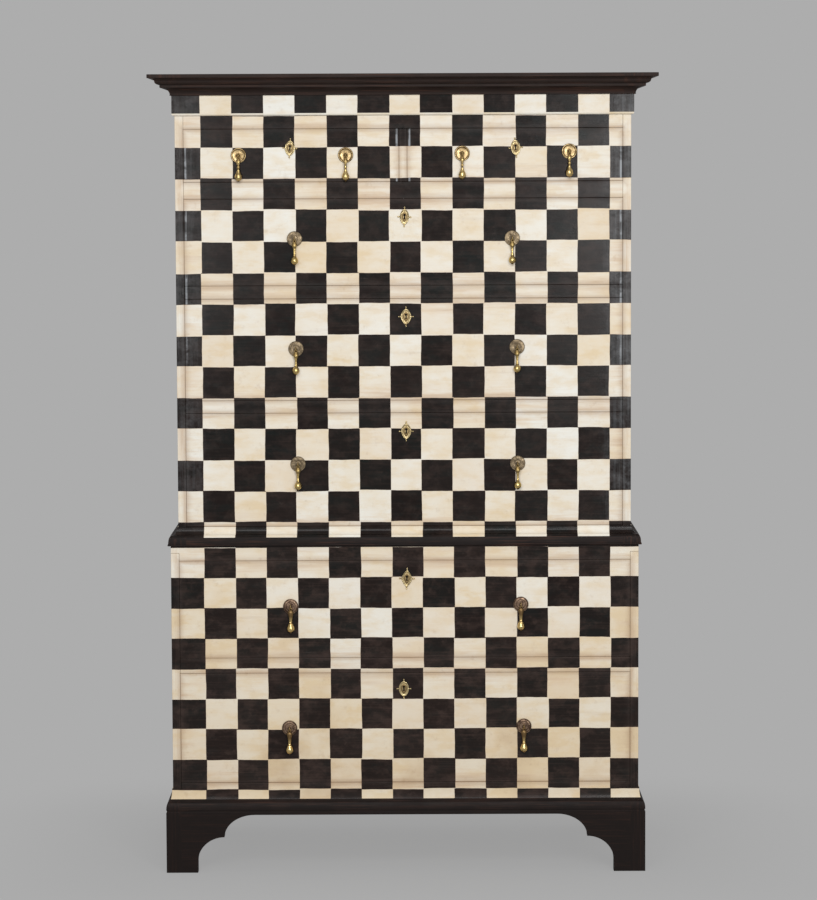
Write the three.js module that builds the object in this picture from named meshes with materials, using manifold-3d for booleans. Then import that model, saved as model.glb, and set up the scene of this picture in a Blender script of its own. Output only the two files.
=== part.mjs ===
// Chest on chest: a five-drawer upper chest that stands on a two-drawer lower chest.
// Millimetres. X runs to the right, Y to the back, Z up. The origin is on the floor,
// at the middle of the whole object's width and depth.

import * as THREE from 'three';
import { mergeVertices } from 'three/addons/utils/BufferGeometryUtils.js';
import Module from 'manifold-3d';

const wasm = await Module();
wasm.setup();

// Overall sizes of the two chests
const lowerWidth = 1013;
const lowerDepth = 520;
const setback = 16;
const upperWidth = lowerWidth - 2 * setback;

// Boards
const sideThickness = 18;
const boardThickness = 18;
const floorBoardThickness = 20;
const dustboardThickness = 12;
const railDepth = 45;
const backThickness = 10;
const partitionThickness = 17;
const topRailThickness = 22;

// Heights of the lower chest, from the floor up
const plinthHeight = 175;
const lowerRail = 33;
const lowerTopRail = 16.5;

// Heights of the upper chest, from the parting line up
const upperSill = 38;
const railUnderShort = 36;
const railUnderLongOne = 28;
const railUnderLongTwo = 27;
const upperTopRail = 28.5;
const friezeHeight = 43;
const corniceHeight = 44.6;

// Heights of the drawer openings
const shortOpening = 114;
const longOneOpening = 187;
const longTwoOpening = 220;
const longThreeOpening = 246;
const lowerOneOpening = 212.5;
const lowerTwoOpening = 240.5;

// Drawers
const reveal = 0.7;
const sideClearance = 1.5;
const edgeRadius = 1.2;
const frontThickness = 22;
const drawerWall = 10;
const drawerFloor = 7;
const floorRise = 8;
const runnerClearance = 0.5;
const frontShowsAbove = 6;
const behindDrawer = 31.4;

// Cornice and frieze, measured outwards from the upper chest's face
const friezeProud = 6;
const corniceProjection = 49;
const coronaHeight = 8;
const coronaEdge = 1.2;
const coronaUnderside = 5;
const ogeeDrop = 14;
const ogeeRun = 20.5;
const corniceFillet = 6;
const filletStep = 2;
const cavettoEnd = 3;
const astragalHeight = 1.5;
const friezeEdgeHeight = 5;
const friezeEdgeIn = 3.5;

// Waist moulding, measured outwards from the upper chest's face
const waistTopGap = 0.6;
const waistLip = 2.5;
const waistLipHeight = 2;
const waistCoveRun = 12.5;
const waistFillet = 2.5;
const waistStep = 1.5;
const waistOvoloHeight = 16.5;
const waistNosing = 6.5;
const waistNosingHeight = 4;
const waistUnderParting = 2;

// Bracket base, measured outwards from the lower chest's face
const plinthProud = 14.5;
const plinthThickness = 22;
const baseRise = 8;
const baseLip = 2;
const baseCoveRun = 5;
const baseCoveHeight = 25;
const baseFillet = 3;
const baseStep = 1.5;
const baseOvoloHeight = 15.5;
const basePlainBand = 3;
const grooveDepth = 1.5;
const grooveHeight = 5;
const footWidth = 68.5;
const footStraight = 25;
const cuspReach = 58;
const cuspRise = 53;
const archReach = 65.5;
const archRise = 48.8;
const glueBlock = 40;
const backRailThickness = 20;

// Pulls
const roseRadius = 16.5;
const roseRim = 3.4;
const stemRadius = 1.2;
const stemFoot = 1.6;
const loopRadius = 5;
const wireRadius = 0.9;
const dropLength = 52;
const ballRadius = 8;
const ballStandOff = 1.3;
const eyeSlack = 0.8;
const eyeWall = 1.9;
const eyeThickness = 2.4;
const eyeHang = 0.3;
const eyeFlatShare = 0.5;
const flatEndShare = 0.42;

// How the pulls of each drawer were fitted, by eye: their distance from the middle as a share of the
// opening's width, their height as a share of the opening's, how far the pair stands to the right, and
// how much higher the right one sits than the left
const pullFitting = {
  short_drawer_left: { outShare: 0.248, upShare: 0.504, toRight: 2, rise: 0 },
  short_drawer_right: { outShare: 0.248, upShare: 0.543, toRight: 1.7, rise: 3.7 },
  upper_drawer_1: { outShare: 0.248, upShare: 0.54, toRight: 0, rise: 0 },
  upper_drawer_2: { outShare: 0.2525, upShare: 0.5155, toRight: 5.8, rise: 2.6 },
  upper_drawer_3: { outShare: 0.2515, upShare: 0.551, toRight: 7.7, rise: 0 },
  lower_drawer_1: { outShare: 0.2553, upShare: 0.537, toRight: 1.9, rise: 3 },
  lower_drawer_2: { outShare: 0.2606, upShare: 0.504, toRight: 2.9, rise: 2.2 },
};

const gap = 0.3;
const overrun = 5;
const bury = 1;

// Facets and steps of the round shapes
const arcSteps = 5;
const shortArcSteps = 3;
const wireSides = 5;
const loopSteps = 12;
const roseSides = 16;
const dropSides = 10;
const stemSides = 8;
const eyeSteps = 6;

// Turned outline of the rose, from its back: shares of its radius and of its rim's height
const roseShares = [
  [0, 0], [1, 0], [1, 0.6], [0.93, 1], [0.84, 0.75], [0.5, 0.45], [0.18, 0.6], [0.13, 0.94], [0, 0.94],
];

// Turned outlines of the drops, from the eye down: shares of the drop's length and of the ball's radius
const beadedDropShares = [
  [0.055, 0.42], [0.16, 0.38], [0.28, 0.2], [0.36, 0.2], [0.41, 0.34], [0.46, 0.22],
  [0.6, 0.42], [0.72, 0.86], [0.81, 1], [0.9, 0.8], [0.945, 0.3], [0.975, 0.22], [1, 0],
];
const bulbDropShares = [
  [0.055, 0.44], [0.2, 0.44], [0.32, 0.26], [0.4, 0.24], [0.46, 0.42], [0.56, 0.46],
  [0.65, 0.3], [0.75, 0.78], [0.84, 1], [0.92, 0.82], [0.96, 0.34], [0.985, 0.22], [1, 0],
];
const trumpetDropShares = [
  [0.055, 0.44], [0.16, 0.82], [0.22, 0.74], [0.4, 0.46], [0.54, 0.27], [0.6, 0.44],
  [0.68, 0.6], [0.77, 0.92], [0.84, 1], [0.91, 0.78], [0.95, 0.34], [0.98, 0.2], [1, 0],
];

// Levels worked out from the heights above
const ledgeZ = plinthHeight;
const lowerSideBottomZ = ledgeZ + gap;
const lowerTwoBottomZ = lowerSideBottomZ + floorBoardThickness;
const lowerTwoTopZ = lowerTwoBottomZ + lowerTwoOpening;
const lowerOneBottomZ = lowerTwoTopZ + lowerRail;
const lowerOneTopZ = lowerOneBottomZ + lowerOneOpening;
const lowerSideTopZ = lowerOneTopZ + lowerTopRail;
const partingZ = lowerSideTopZ + gap + boardThickness;
const upperSideBottomZ = partingZ + gap;
const longThreeBottomZ = upperSideBottomZ + upperSill;
const longThreeTopZ = longThreeBottomZ + longThreeOpening;
const longTwoBottomZ = longThreeTopZ + railUnderLongTwo;
const longTwoTopZ = longTwoBottomZ + longTwoOpening;
const longOneBottomZ = longTwoTopZ + railUnderLongOne;
const longOneTopZ = longOneBottomZ + longOneOpening;
const shortBottomZ = longOneTopZ + railUnderShort;
const shortTopZ = shortBottomZ + shortOpening;
const friezeBottomZ = shortTopZ + upperTopRail;
const friezeTopZ = friezeBottomZ + friezeHeight;
const topZ = friezeTopZ + corniceHeight;
const upperSideTopZ = topZ - boardThickness - gap;

// Planes worked out from the widths and depths above
const corniceProud = friezeProud + corniceProjection;
const overallDepth = lowerDepth - setback + corniceProud;
const backY = overallDepth / 2;
const lowerFrontY = backY - lowerDepth;
const upperFrontY = lowerFrontY + setback;
const panelFrontY = backY - backThickness - gap;
const lowerHalf = lowerWidth / 2;
const upperHalf = upperWidth / 2;
const lowerInnerHalf = lowerHalf - sideThickness;
const upperInnerHalf = upperHalf - sideThickness;
const partitionHalf = partitionThickness / 2;

// Sizes of the pulls that follow from each other
const loopStand = ballRadius + ballStandOff;
const eyeHole = wireRadius + eyeSlack;
const eyeRadius = eyeHole + eyeWall;

const finishes = {
  cream: { color: 0xe6dcc4, roughness: 0.55, metalness: 0 },
  black: { color: 0x2d2624, roughness: 0.5, metalness: 0 },
  bareWood: { color: 0xa9855c, roughness: 0.8, metalness: 0 },
  brass: { color: 0xb98f45, roughness: 0.35, metalness: 1 },
};

const chest = new THREE.Group();

// Adds one named piece to the chest, or to a group inside it.
function addPiece(name, geometry, finish, owner = chest) {
  const mesh = new THREE.Mesh(geometry, new THREE.MeshStandardMaterial(finishes[finish]));
  mesh.name = name;
  owner.add(mesh);
  return mesh;
}

// A rectangular board between two opposite corners.
function board(lowX, highX, lowY, highY, lowZ, highZ) {
  const geometry = new THREE.BoxGeometry(highX - lowX, highY - lowY, highZ - lowZ);
  geometry.translate((lowX + highX) / 2, (lowY + highY) / 2, (lowZ + highZ) / 2);
  return geometry;
}

// Turns every face of a closed surface outwards.
function faceOutwards(geometry) {
  const corner = [new THREE.Vector3(), new THREE.Vector3(), new THREE.Vector3()];
  const index = geometry.index.array;
  let volume = 0;
  for (let start = 0; start < index.length; start += 3) {
    corner.forEach((point, k) => point.fromBufferAttribute(geometry.attributes.position, index[start + k]));
    volume += corner[0].dot(corner[1].cross(corner[2]));
  }
  if (volume < 0) {
    for (let start = 0; start < index.length; start += 3) {
      [index[start], index[start + 1]] = [index[start + 1], index[start]];
    }
  }
  return geometry;
}

// A closed skin over one outline that is placed at several stations in turn.
function skin(points, stations) {
  const outline = THREE.ShapeUtils.isClockWise(points) ? [...points].reverse() : points;
  const count = outline.length;
  const positions = stations.flatMap((place) => outline.flatMap((point) => place(point)));
  const index = [];
  for (let ring = 0; ring + 1 < stations.length; ring += 1) {
    for (let here = 0; here < count; here += 1) {
      const next = (here + 1) % count;
      const low = ring * count;
      const high = low + count;
      index.push(low + here, low + next, high + next);
      index.push(low + here, high + next, high + here);
    }
  }
  const last = (stations.length - 1) * count;
  for (const [a, b, c] of THREE.ShapeUtils.triangulateShape(outline, [])) {
    index.push(c, b, a);
    index.push(last + a, last + b, last + c);
  }
  const geometry = new THREE.BufferGeometry();
  geometry.setAttribute('position', new THREE.Float32BufferAttribute(positions, 3));
  geometry.setIndex(index);
  return faceOutwards(geometry);
}

// Points along a stretch of an ellipse, in turns of a full circle.
function arc(centreX, centreY, radiusX, radiusY, fromTurn, toTurn, steps = arcSteps) {
  const points = [];
  for (let step = 0; step <= steps; step += 1) {
    const angle = 2 * Math.PI * (fromTurn + ((toTurn - fromTurn) * step) / steps);
    points.push(new THREE.Vector2(centreX + radiusX * Math.cos(angle), centreY + radiusY * Math.sin(angle)));
  }
  return points;
}

function at(x, y) {
  return new THREE.Vector2(x, y);
}

// A moulding that runs along the left side, mitres round the front and runs back along the right side.
// The outline's x is measured outwards from the face that carries the moulding, and its y is the height.
function threeSided(outline, half, frontY) {
  return skin(outline, [
    (point) => [-half - point.x, backY, point.y],
    (point) => [-half - point.x, frontY - point.x, point.y],
    (point) => [half + point.x, frontY - point.x, point.y],
    (point) => [half + point.x, backY, point.y],
  ]);
}

// Joins and cuts closed shapes.
function toSolid(geometry) {
  const bare = geometry.index ? geometry.toNonIndexed() : geometry.clone();
  bare.deleteAttribute('normal');
  bare.deleteAttribute('uv');
  const merged = mergeVertices(bare);
  const mesh = new wasm.Mesh({
    numProp: 3,
    vertProperties: new Float32Array(merged.attributes.position.array),
    triVerts: new Uint32Array(merged.index.array),
  });
  return new wasm.Manifold(mesh);
}

function toGeometry(solid) {
  const mesh = solid.getMesh();
  const geometry = new THREE.BufferGeometry();
  geometry.setAttribute('position', new THREE.BufferAttribute(mesh.vertProperties, 3));
  geometry.setIndex(new THREE.BufferAttribute(mesh.triVerts, 1));
  return geometry;
}

function joined(first, ...others) {
  return toGeometry(others.reduce((solid, other) => solid.add(toSolid(other)), toSolid(first)));
}

function cut(first, ...others) {
  return toGeometry(others.reduce((solid, other) => solid.subtract(toSolid(other)), toSolid(first)));
}

// The rail across the front of a chest, with the board behind it that carries the drawer above.
function railWithBoard(stage, lowZ, highZ, thickness = dustboardThickness) {
  const frontY = stage === 'upper' ? upperFrontY : lowerFrontY;
  const outline = [
    at(frontY, lowZ),
    at(frontY + railDepth, lowZ),
    at(frontY + railDepth, highZ - thickness),
    at(panelFrontY, highZ - thickness),
    at(panelFrontY, highZ),
    at(frontY, highZ),
  ];
  const reach = (stage === 'upper' ? upperInnerHalf : lowerInnerHalf) - gap;
  return skin(outline, [
    (point) => [-reach, point.x, point.y],
    (point) => [reach, point.x, point.y],
  ]);
}

// The top board of a chest, laid over its sides, with the front rail that hangs between them.
function topWithRail(half, innerHalf, frontY, railLowZ, boardLowZ) {
  const reach = innerHalf - gap;
  const lid = board(-half, half, frontY, backY, boardLowZ, boardLowZ + boardThickness);
  const railHighZ = boardLowZ + boardThickness / 2;
  const rail = board(-reach, reach, frontY, frontY + topRailThickness, railLowZ, railHighZ);
  return joined(lid, rail);
}

function buildCase(prefix, half, frontY, bottomZ, sideTopZ) {
  const innerHalf = half - sideThickness;
  const reach = innerHalf - gap;
  addPiece(`${prefix}_left_side`, board(-half, -innerHalf, frontY, backY, bottomZ, sideTopZ), 'cream');
  addPiece(`${prefix}_right_side`, board(innerHalf, half, frontY, backY, bottomZ, sideTopZ), 'cream');
  const panel = board(-reach, reach, backY - backThickness, backY, bottomZ, sideTopZ);
  addPiece(`${prefix}_back_panel`, panel, 'bareWood');
}

// Frieze board and cornice, planted round the top of the upper chest.
function corniceOutline() {
  const tip = corniceProud;
  const ogeeTop = topZ - coronaHeight;
  const ogeeStart = tip - coronaUnderside;
  const friezeEdgeZ = friezeBottomZ + friezeEdgeHeight;
  const ogeeEnd = ogeeStart - ogeeRun;
  const filletTop = ogeeTop - ogeeDrop;
  const filletBottom = filletTop - corniceFillet;
  const cavettoTop = ogeeEnd - filletStep;
  const cavettoFoot = friezeProud + cavettoEnd;
  const cavettoBottom = friezeTopZ + astragalHeight;
  return [
    at(gap, topZ),
    at(tip - coronaEdge, topZ),
    at(tip, topZ - coronaEdge),
    at(tip, ogeeTop + coronaEdge),
    at(tip - coronaEdge, ogeeTop),
    ...arc(ogeeStart, ogeeTop - ogeeDrop / 2, ogeeRun / 2, ogeeDrop / 2, 0.25, 0.5, shortArcSteps),
    ...arc(ogeeEnd, ogeeTop - ogeeDrop / 2, ogeeRun / 2, ogeeDrop / 2, 0, -0.25, shortArcSteps).slice(1),
    at(ogeeEnd, filletBottom),
    ...arc(cavettoTop, cavettoBottom, cavettoTop - cavettoFoot, filletBottom - cavettoBottom, 0.25, 0.5),
    at(cavettoFoot, friezeTopZ),
    at(friezeProud, friezeTopZ),
    ...arc(friezeProud - friezeEdgeIn, friezeEdgeZ, friezeEdgeIn, friezeEdgeHeight, 0, -0.25, shortArcSteps),
    at(gap, friezeBottomZ),
  ];
}

// Waist moulding, fixed to the lower chest and closing round the foot of the upper one.
function waistOutline() {
  const top = longThreeBottomZ - waistTopGap;
  const coveEnd = waistLip + waistCoveRun;
  const nose = setback + waistNosing;
  const bottom = partingZ - waistUnderParting;
  const noseTop = bottom + waistNosingHeight;
  const filletBottom = noseTop + waistOvoloHeight;
  const filletTop = filletBottom + waistFillet;
  const filletEnd = coveEnd + waistStep;
  const coveTop = top - waistLipHeight;
  return [
    at(gap, top),
    at(waistLip, top),
    ...arc(coveEnd, coveTop, waistCoveRun, coveTop - filletTop, 0.5, 0.75),
    at(filletEnd, filletTop),
    at(filletEnd, filletBottom),
    ...arc(filletEnd, noseTop, nose - filletEnd, filletBottom - noseTop, 0.25, 0).slice(1),
    at(nose, bottom),
    at(setback + gap, bottom),
    at(setback + gap, partingZ + gap),
    at(gap, partingZ + gap),
  ];
}

// Base moulding with the plinth board under it.
function baseOutline() {
  const top = ledgeZ + baseRise;
  const coveEnd = baseLip + baseCoveRun;
  const coveBottom = top - baseCoveHeight;
  const filletEnd = coveEnd + baseStep;
  const ovoloTop = coveBottom - baseFillet;
  const ovoloBottom = ovoloTop - baseOvoloHeight;
  const grooveTop = ovoloBottom - basePlainBand;
  const grooveBottom = grooveTop - grooveHeight;
  const inner = plinthProud - plinthThickness;
  return [
    at(gap, top),
    ...arc(coveEnd, top, baseCoveRun, baseCoveHeight, 0.5, 0.75),
    at(filletEnd, coveBottom),
    at(filletEnd, ovoloTop),
    ...arc(filletEnd, ovoloBottom, plinthProud - filletEnd, baseOvoloHeight, 0.25, 0, shortArcSteps).slice(1),
    at(plinthProud, grooveTop),
    at(plinthProud - grooveDepth, grooveTop - grooveDepth),
    at(plinthProud - grooveDepth, grooveBottom + grooveDepth),
    at(plinthProud, grooveBottom),
    at(plinthProud, 0),
    at(inner, 0),
    at(inner, ledgeZ),
    at(gap, ledgeZ),
  ];
}

// The open arch between two bracket feet whose outer faces are at plus and minus half.
function archOutline(half) {
  const foot = half - footWidth;
  const cusp = foot - cuspReach;
  const crown = cusp - archReach;
  const cuspZ = footStraight + cuspRise;
  const right = [
    at(foot, -overrun),
    ...arc(cusp, footStraight, cuspReach, cuspRise, 0, 0.25),
    ...arc(crown, cuspZ, archReach, archRise, 0, 0.25),
  ];
  const left = right.map((point) => at(-point.x, point.y)).reverse();
  return [...right, ...left];
}

// Bracket base: moulding, four bracket feet, back rail and the glue blocks in the corners.
function bracketBase() {
  const outerHalf = lowerHalf + plinthProud;
  const outerFrontY = lowerFrontY - plinthProud;
  const innerHalf = outerHalf - plinthThickness;
  const innerFrontY = outerFrontY + plinthThickness;
  const frame = threeSided(baseOutline(), lowerHalf, lowerFrontY);
  const backRail = board(-innerHalf - bury, innerHalf + bury, backY - backRailThickness, backY, 0, ledgeZ);
  const blocks = [];
  for (const side of [-1, 1]) {
    const nearX = side * (innerHalf - glueBlock);
    const farX = side * (innerHalf + bury);
    const lowX = Math.min(nearX, farX);
    const highX = Math.max(nearX, farX);
    const behind = backY - backRailThickness;
    blocks.push(board(lowX, highX, innerFrontY - bury, innerFrontY + glueBlock, 0, ledgeZ));
    blocks.push(board(lowX, highX, behind - glueBlock, behind + bury, 0, ledgeZ));
  }
  const frontArch = skin(archOutline(outerHalf), [
    (point) => [point.x, outerFrontY - overrun, point.y],
    (point) => [point.x, backY + overrun, point.y],
  ]);
  const middleY = (outerFrontY + backY) / 2;
  const sideArch = skin(archOutline((backY - outerFrontY) / 2), [
    (point) => [-outerHalf - overrun, middleY + point.x, point.y],
    (point) => [outerHalf + overrun, middleY + point.x, point.y],
  ]);
  return cut(joined(frame, backRail, ...blocks), frontArch, sideArch);
}

// A drawer front with its face edges rounded over.
function drawerFront(width, height) {
  const corners = [at(-1, -1), at(1, -1), at(1, 1), at(-1, 1)];
  const halfWidth = width / 2;
  const halfHeight = height / 2;
  const ring = (inset, depth) => (point) => [
    point.x * (halfWidth - inset),
    depth,
    point.y * (halfHeight - inset),
  ];
  const rounded = arc(edgeRadius, edgeRadius, edgeRadius, edgeRadius, 0.5, 0.75, shortArcSteps);
  const stations = rounded.map((point) => ring(point.x, point.y));
  return skin(corners, [ring(0, frontThickness), ...stations]);
}

// A drawer's sides, back and bottom, open above and closed in front by the drawer front.
function drawerBox(width, height, endY) {
  const half = width / 2;
  const inner = half - drawerWall;
  const startY = frontThickness + gap;
  const floorZ = floorRise + drawerFloor;
  const shell = board(-half, half, startY, endY, 0, height);
  const hollow = board(-inner, inner, startY - overrun, endY - drawerWall, floorZ, height + overrun);
  const underside = board(-inner, inner, startY - overrun, endY + overrun, -overrun, floorRise);
  return cut(shell, hollow, underside);
}

// The round dished plate behind a pull, with the wire loop that stands out of its boss.
function rose() {
  const outline = roseShares.map(([out, up]) => at(out * roseRadius, up * roseRim));
  const plate = new THREE.LatheGeometry(outline, roseSides);
  plate.rotateX(Math.PI);
  const loop = new THREE.TorusGeometry(loopRadius, wireRadius, wireSides, loopSteps);
  loop.rotateY(Math.PI / 2);
  loop.translate(0, -loopStand, 0);
  const stemEnd = loopStand - loopRadius;
  const stem = new THREE.CylinderGeometry(stemRadius, stemRadius, stemEnd - stemFoot, stemSides);
  stem.translate(0, -(stemEnd + stemFoot) / 2, 0);
  return joined(plate, loop, stem);
}

// The turned drop, with the flat eye that hangs on the wire loop. Its own origin is the loop's centre.
// Its upper part is flattened from front to back, towards the eye.
function drop(shares) {
  const outline = shares.map(([down, out]) => at(out * ballRadius, -down * dropLength - loopRadius));
  const top = outline[0];
  const body = new THREE.LatheGeometry([at(0, top.y), ...outline].reverse(), dropSides);
  const eyeShape = new THREE.Shape();
  eyeShape.absarc(0, 0, eyeRadius, 0, 2 * Math.PI, false);
  const hole = new THREE.Path();
  hole.absarc(0, 0, eyeHole, 0, 2 * Math.PI, true);
  eyeShape.holes.push(hole);
  const plate = { depth: eyeThickness, bevelEnabled: false, curveSegments: eyeSteps };
  const eye = new THREE.ExtrudeGeometry(eyeShape, plate);
  eye.translate(0, 0, -eyeThickness / 2);
  eye.rotateX(Math.PI / 2);
  eye.translate(0, 0, -loopRadius - eyeHang);
  body.rotateX(Math.PI / 2);
  const place = body.attributes.position;
  for (let corner = 0; corner < place.count; corner += 1) {
    const down = (-place.getZ(corner) - loopRadius) / dropLength;
    const round = Math.min(down / flatEndShare, 1);
    place.setY(corner, place.getY(corner) * (eyeFlatShare + (1 - eyeFlatShare) * round));
  }
  return joined(body, eye);
}

const roseShape = rose();
const dropShapes = {
  beaded: drop(beadedDropShares),
  bulb: drop(bulbDropShares),
  trumpet: drop(trumpetDropShares),
};

// One drawer with its two pulls, hung in a group at its own place.
function buildDrawer(drawer) {
  const width = drawer.openingWidth - 2 * reveal;
  const height = drawer.openingHeight - 2 * reveal;
  const boxWidth = drawer.openingWidth - 2 * sideClearance;
  const boxHeight = drawer.openingHeight - runnerClearance - sideClearance - frontShowsAbove;
  const boxEnd = panelFrontY - behindDrawer - drawer.faceY;
  const group = new THREE.Group();
  group.position.set(drawer.centreX, drawer.faceY, drawer.bottomZ);
  chest.add(group);
  const front = addPiece(`${drawer.name}_front`, drawerFront(width, height), 'cream', group);
  front.position.z = drawer.openingHeight / 2;
  const box = addPiece(`${drawer.name}_box`, drawerBox(boxWidth, boxHeight, boxEnd), 'bareWood', group);
  box.position.z = runnerClearance;
  const { outShare, upShare, toRight, rise } = pullFitting[drawer.name];
  [-1, 1].forEach((side, place) => {
    const hook = new THREE.Group();
    const pullX = toRight + side * outShare * drawer.openingWidth;
    const pullZ = upShare * drawer.openingHeight + (side * rise) / 2;
    hook.position.set(pullX, -gap, pullZ);
    group.add(hook);
    addPiece(`${drawer.name}_rose_${place + 1}`, roseShape.clone(), 'brass', hook);
    const dropShape = dropShapes[drawer.drop].clone();
    const hanging = addPiece(`${drawer.name}_drop_${place + 1}`, dropShape, 'brass', hook);
    hanging.position.y = -loopStand;
  });
}

buildCase('lower', lowerHalf, lowerFrontY, lowerSideBottomZ, lowerSideTopZ);
buildCase('upper', upperHalf, upperFrontY, upperSideBottomZ, upperSideTopZ);

const floorReach = lowerInnerHalf - gap;
const lowerFloor = board(
  -floorReach, floorReach, lowerFrontY, panelFrontY, lowerSideBottomZ, lowerTwoBottomZ,
);
const upperFloor = railWithBoard('upper', upperSideBottomZ, longThreeBottomZ, floorBoardThickness);
addPiece('lower_bottom_board', lowerFloor, 'cream');
addPiece('upper_bottom_board', upperFloor, 'cream');

const lowerTop = topWithRail(lowerHalf, lowerInnerHalf, lowerFrontY, lowerOneTopZ, lowerSideTopZ + gap);
const upperTop = topWithRail(upperHalf, upperInnerHalf, upperFrontY, shortTopZ, upperSideTopZ + gap);
addPiece('lower_top_board', lowerTop, 'cream');
addPiece('upper_top_board', upperTop, 'cream');

addPiece('lower_dustboard', railWithBoard('lower', lowerTwoTopZ, lowerOneBottomZ), 'cream');
addPiece('upper_dustboard_1', railWithBoard('upper', longOneTopZ, shortBottomZ), 'cream');
addPiece('upper_dustboard_2', railWithBoard('upper', longTwoTopZ, longOneBottomZ), 'cream');
addPiece('upper_dustboard_3', railWithBoard('upper', longThreeTopZ, longTwoBottomZ), 'cream');

const partitionLowZ = shortBottomZ + gap;
const partitionHighZ = shortTopZ - gap;
addPiece(
  'upper_partition',
  board(-partitionHalf, partitionHalf, upperFrontY, panelFrontY, partitionLowZ, partitionHighZ),
  'black',
);
addPiece('cornice', threeSided(corniceOutline(), upperHalf, upperFrontY), 'black');
addPiece('waist_moulding', threeSided(waistOutline(), upperHalf, upperFrontY), 'black');
addPiece('bracket_base', bracketBase(), 'black');

const shortWidth = upperInnerHalf - partitionHalf;
const shortCentre = partitionHalf + shortWidth / 2;
const upperPlace = {
  faceY: upperFrontY,
  openingWidth: 2 * upperInnerHalf,
  centreX: 0,
  drop: 'bulb',
};
const lowerPlace = {
  faceY: lowerFrontY,
  openingWidth: 2 * lowerInnerHalf,
  centreX: 0,
  drop: 'trumpet',
};
const shortPlace = {
  ...upperPlace,
  openingWidth: shortWidth,
  drop: 'beaded',
};

// One row of the list: the drawer's name, its place, its opening's height and its lowest level.
function row(name, place, openingHeight, bottomZ) {
  return { ...place, name, openingHeight, bottomZ };
}

const shortLeftPlace = { ...shortPlace, centreX: -shortCentre };
const shortRightPlace = { ...shortPlace, centreX: shortCentre };
const drawers = [
  row('short_drawer_left', shortLeftPlace, shortOpening, shortBottomZ),
  row('short_drawer_right', shortRightPlace, shortOpening, shortBottomZ),
  row('upper_drawer_1', upperPlace, longOneOpening, longOneBottomZ),
  row('upper_drawer_2', upperPlace, longTwoOpening, longTwoBottomZ),
  row('upper_drawer_3', upperPlace, longThreeOpening, longThreeBottomZ),
  row('lower_drawer_1', lowerPlace, lowerOneOpening, lowerOneBottomZ),
  row('lower_drawer_2', lowerPlace, lowerTwoOpening, lowerTwoBottomZ),
];
drawers.forEach(buildDrawer);

export default chest;
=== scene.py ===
# Chest on chest with a painted check. Metres, X to the right, Y to the back, Z up from the floor.

import math
import random
from types import SimpleNamespace

import bmesh
import bpy
from mathutils import Matrix, Vector, noise


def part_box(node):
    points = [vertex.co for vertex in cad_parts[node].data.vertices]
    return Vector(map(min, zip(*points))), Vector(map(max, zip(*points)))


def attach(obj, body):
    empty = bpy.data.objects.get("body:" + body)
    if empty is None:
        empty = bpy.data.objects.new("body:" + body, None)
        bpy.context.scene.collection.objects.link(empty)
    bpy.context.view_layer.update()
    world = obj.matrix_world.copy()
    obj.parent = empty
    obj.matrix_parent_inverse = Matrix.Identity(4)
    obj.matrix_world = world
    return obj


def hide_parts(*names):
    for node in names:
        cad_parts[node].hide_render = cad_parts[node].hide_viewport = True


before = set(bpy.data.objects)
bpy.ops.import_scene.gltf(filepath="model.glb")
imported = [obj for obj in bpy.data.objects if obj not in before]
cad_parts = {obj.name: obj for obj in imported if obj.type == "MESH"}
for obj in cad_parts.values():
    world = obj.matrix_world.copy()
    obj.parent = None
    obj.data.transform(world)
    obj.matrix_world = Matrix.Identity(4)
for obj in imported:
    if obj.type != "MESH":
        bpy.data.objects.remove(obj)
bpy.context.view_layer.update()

MM = 0.001

# The photograph's size in pixels, and how it was taken
PHOTO_HEIGHT = 900
FOCAL_PIXELS = 3345.7
CAMERA_PLACE = Vector((0.0092, -7.4405, 1.5144))
CAMERA_PITCH = -4.714
CAMERA_ROLL = 0.24
SENSOR = 36

# Lamps: place, what each points at, width and height, and watts
LAMPS = {
    "overhead": ((0, -4.6, 3.6), (0, 0, 0.9), (3.2, 1.6), 107),
    "right_panel": ((1.03, -3.8, 1.42), (0.4, 0, 1.4), (0.66, 0.8), 30),
    "left_panel": ((-1.06, -3.8, 1.4), (-0.4, 0, 1.4), (0.66, 0.8), 13),
}
SKY_STRENGTH = 0.5
FLOOR_REACH = 30
FLOOR_SHADOW = 0.24
SHADOW_REACH = 0.7

# The case, from the frame
case_low, case_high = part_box("upper_left_side")
UPPER_FRONT = case_low.y
UPPER_HALF = -case_low.x
SIDE_BOARD = case_high.x - case_low.x
case_low, case_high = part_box("lower_left_side")
LOWER_FRONT = case_low.y
LOWER_HALF = -case_low.x
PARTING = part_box("lower_top_board")[1].z
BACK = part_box("bracket_base")[1].y
LEDGE = 175 * MM
CASE_GAP = 0.3 * MM
# Between two pieces that touch, and how far a cut reaches past the wood
CLEAR = 0.1 * MM
CUT_OUT = 5 * MM
MOULDING_STEP = 60 * MM
BOARD_ROUND = 1 * MM

# Backs and drawer bottoms of several boards
BACK_PLANK = 155 * MM
BOTTOM_PLANK = 118 * MM
PLANK_GAP = 0.5 * MM
PLANK_ROUND = 0.8 * MM
BACK_STRAY = 0.25 * MM
BOTTOM_STRAY = 0.2 * MM
NAIL_RISE = 0.9 * MM
NAIL_INSET = 12 * MM
NAIL_STRAY = 4 * MM
NAILS_ACROSS = 12
# Turned outline in millimetres, outwards and along
NAIL_HEAD = [(0, -1.5), (1.92, -1.5), (3.2, 0), (3.04, 0.405), (1.76, 0.729), (0, 0.81)]

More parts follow.
